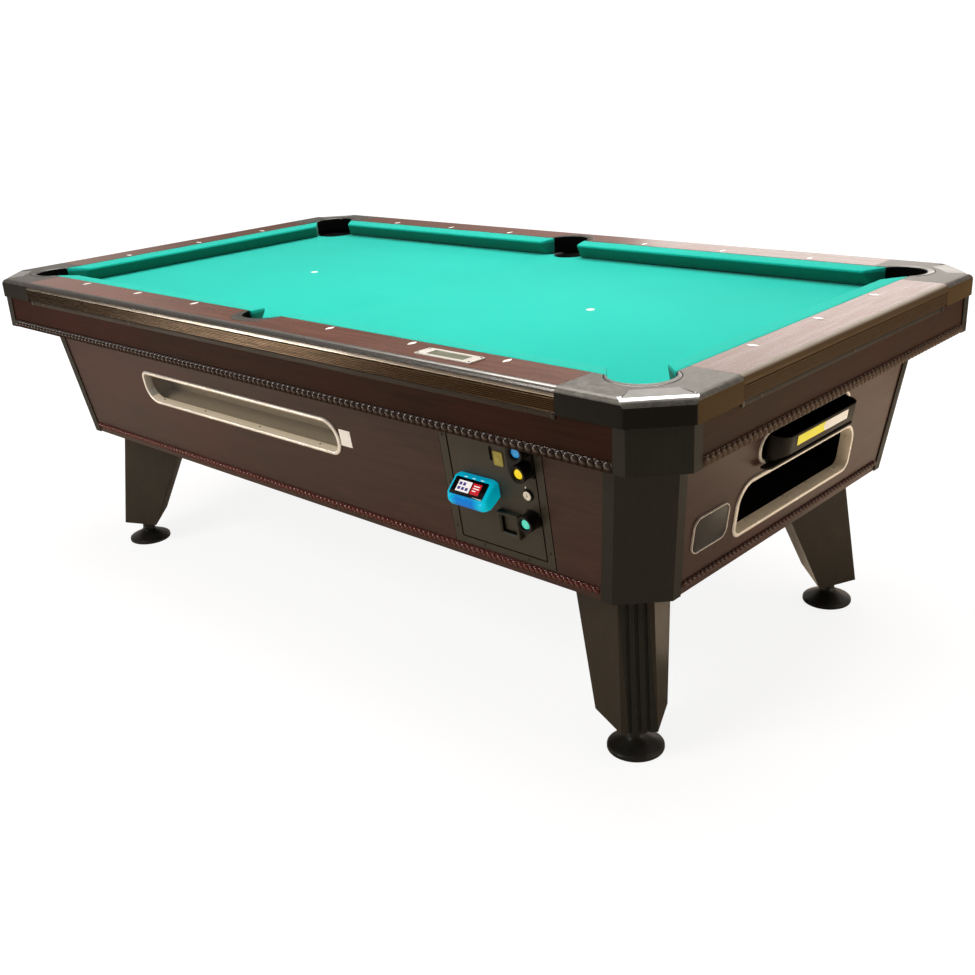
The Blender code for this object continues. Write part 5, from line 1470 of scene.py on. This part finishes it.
# ------------------------------------------------------------------ floor, light
ground = bpy.data.meshes.new("studio_floor")
ground.from_pydata([(-30, -30, 0), (30, -30, 0), (30, 30, 0), (-30, 30, 0)], [], [(0, 1, 2, 3)])
floor = bpy.data.objects.new("studio_floor", ground)
bpy.context.scene.collection.objects.link(floor)
floor.location.z = -0.0005
fm = bpy.data.materials.new("studio_floor_paper")
fm.use_nodes = True
nt = fm.node_tree
nt.nodes.clear()
out = nt.nodes.new("ShaderNodeOutputMaterial")
mix = nt.nodes.new("ShaderNodeMixShader")
path_node = nt.nodes.new("ShaderNodeLightPath")
pale = nt.nodes.new("ShaderNodeAddShader")
em = nt.nodes.new("ShaderNodeEmission")
em.inputs["Color"].default_value = (1, 1, 1, 1)
reach = nt.nodes.new("ShaderNodeVectorMath")
reach.operation = "LENGTH"
spot_tc = nt.nodes.new("ShaderNodeTexCoord")
fade = nt.nodes.new("ShaderNodeMapRange")
fade.inputs["From Min"].default_value = 1.4
fade.inputs["From Max"].default_value = 3.2
fade.inputs["To Min"].default_value = 0.86
fade.inputs["To Max"].default_value = 1.02
nt.links.new(spot_tc.outputs["Object"], reach.inputs[0])
nt.links.new(reach.outputs["Value"], fade.inputs["Value"])
nt.links.new(fade.outputs["Result"], em.inputs["Strength"])
df = nt.nodes.new("ShaderNodeBsdfDiffuse")
df.inputs["Color"].default_value = (0.22, 0.22, 0.22, 1)
warm = nt.nodes.new("ShaderNodeBsdfDiffuse")
warm.inputs["Color"].default_value = (0.62, 0.52, 0.42, 1)
nt.links.new(em.outputs[0], pale.inputs[0])
nt.links.new(df.outputs[0], pale.inputs[1])
nt.links.new(path_node.outputs["Is Camera Ray"], mix.inputs[0])
nt.links.new(warm.outputs[0], mix.inputs[1])
nt.links.new(pale.outputs[0], mix.inputs[2])
nt.links.new(mix.outputs[0], out.inputs[0])
ground.materials.append(fm)

world = bpy.data.worlds.new("studio")
bpy.context.scene.world = world
world.use_nodes = True
nt = world.node_tree
nt.nodes.clear()
out = nt.nodes.new("ShaderNodeOutputWorld")
mix = nt.nodes.new("ShaderNodeMixShader")
lp = nt.nodes.new("ShaderNodeLightPath")
white = nt.nodes.new("ShaderNodeBackground")
white.inputs["Color"].default_value = (1, 1, 1, 1)
white.inputs["Strength"].default_value = 1.05
room = nt.nodes.new("ShaderNodeBackground")
room.inputs["Strength"].default_value = 1.0
tc = nt.nodes.new("ShaderNodeTexCoord")
dot = nt.nodes.new("ShaderNodeVectorMath")
dot.operation = "DOT_PRODUCT"
dot.inputs[1].default_value = (-0.25, 0.97, 0.0)
rng = nt.nodes.new("ShaderNodeMapRange")
rng.inputs["From Min"].default_value = -1
rng.inputs["From Max"].default_value = 1
grad = nt.nodes.new("ShaderNodeValToRGB")
cr = grad.color_ramp
stops = [(0.0, 0.10), (0.22, 0.13), (0.42, 0.28), (0.70, 0.40), (0.815, 0.62), (0.838, 0.53), (0.868, 0.18), (0.892, 0.18), (0.928, 0.36), (0.955, 0.64),
         (0.9755, 0.79), (0.99, 0.85)]
while len(cr.elements) < len(stops):
    cr.elements.new(0.5)
for e, (p, v) in zip(cr.elements, stops):
    e.position = p
    e.color = (v, v * 0.85, v * 0.76, 1) if p > 0.95 else (v, v * 0.92, v * 0.85, 1)
nt.links.new(tc.outputs["Generated"], dot.inputs[0])
nt.links.new(dot.outputs["Value"], rng.inputs["Value"])
nt.links.new(rng.outputs["Result"], grad.inputs["Fac"])
nt.links.new(grad.outputs["Color"], room.inputs["Color"])
nt.links.new(lp.outputs["Is Camera Ray"], mix.inputs[0])
nt.links.new(room.outputs[0], mix.inputs[1])
nt.links.new(white.outputs[0], mix.inputs[2])
nt.links.new(mix.outputs[0], out.inputs[0])


def softbox(name, place, aim, sx, sy, watts, colour=(1, 0.97, 0.93)):
    data = bpy.data.lights.new(name, "AREA")
    data.shape, data.size, data.size_y, data.energy, data.color = "RECTANGLE", sx, sy, watts, colour
    ob = bpy.data.objects.new(name, data)
    bpy.context.scene.collection.objects.link(ob)
    ob.location = place
    ob.rotation_euler = (Vector(aim) - Vector(place)).to_track_quat("-Z", "Y").to_euler()
    ob.visible_camera = False
    return ob


softbox("key_overhead", (0.05, 0.25, 2.95), (0.0, 0.1, 0.8), 3.0, 2.6, 100)
softbox("front_soft", (-0.2, -3.0, 2.20), (0.0, -0.6, 0.55), 1.2, 1.6, 30).visible_glossy = False
softbox("back_panel", (-0.55, 3.6, 1.75), (0.6, 0.0, 0.75), 2.4, 1.1, 16)
softbox("right_fill", (3.2, 0.5, 0.52), (0.9, -0.15, 0.40), 1.5, 0.9, 9, (1, 0.84, 0.62))
softbox("rear_side_fill", (2.3, 2.5, 0.55), (0.95, -0.40, 0.40), 0.9, 0.8, 12, (1, 0.86, 0.66)).visible_glossy = False
softbox("left_panel", (-2.40, -2.16, 0.04), (-2.40, -1.81, 0.94), 1.15, 1.0, 33, (1, 0.90, 0.78)).visible_diffuse = False
softbox("rope_glint", (-0.9, -3.0, 2.70), (0.0, -0.6, 0.69), 0.45, 1.1, 24)
softbox("front_bounce", (-0.2, -2.4, 0.06), (-0.2, -0.6, 0.55), 3.2, 1.0, 14.5, (1, 0.92, 0.83)).visible_glossy = False
softbox("end_bounce", (1.62, 0.95, 0.03), (1.62, 0.85, 0.90), 0.8, 1.3, 2.0, (1, 0.80, 0.56))
softbox("leg_glint", (0.72, 0.22, 0.008), (0.72, 0.22, 1.0), 0.35, 0.5, 0.5, (1, 0.80, 0.58)).visible_diffuse = False
softbox("leg_bounce", (1.30, -0.10, 0.02), (1.30, -0.20, 0.90), 0.5, 0.9, 1.2, (1, 0.86, 0.68)).visible_glossy = False

# ---------------------------------------------------------------------- camera
cam_data = bpy.data.cameras.new("camera")
cam_data.sensor_width = 36.0
cam_data.lens = 1143.0 / 975.0 * 36.0
cam = bpy.data.objects.new("camera", cam_data)
bpy.context.scene.collection.objects.link(cam)
az, el, roll = math.radians(43.642), math.radians(21.145), math.radians(-3.198)
back = Vector((math.sin(az) * math.cos(el), -math.cos(az) * math.cos(el), math.sin(el)))
fwd = -back
right = fwd.cross(Vector((0, 0, 1))).normalized()
upv = right.cross(fwd)
r2 = right * math.cos(roll) + upv * math.sin(roll)
u2 = -right * math.sin(roll) + upv * math.cos(roll)
cam.matrix_world = Matrix(((r2.x, u2.x, back.x, 2.0422), (r2.y, u2.y, back.y, -2.0003), (r2.z, u2.z, back.z, 1.3285), (0, 0, 0, 1)))
bpy.context.scene.camera = cam
bpy.context.scene.view_settings.view_transform = "Standard"
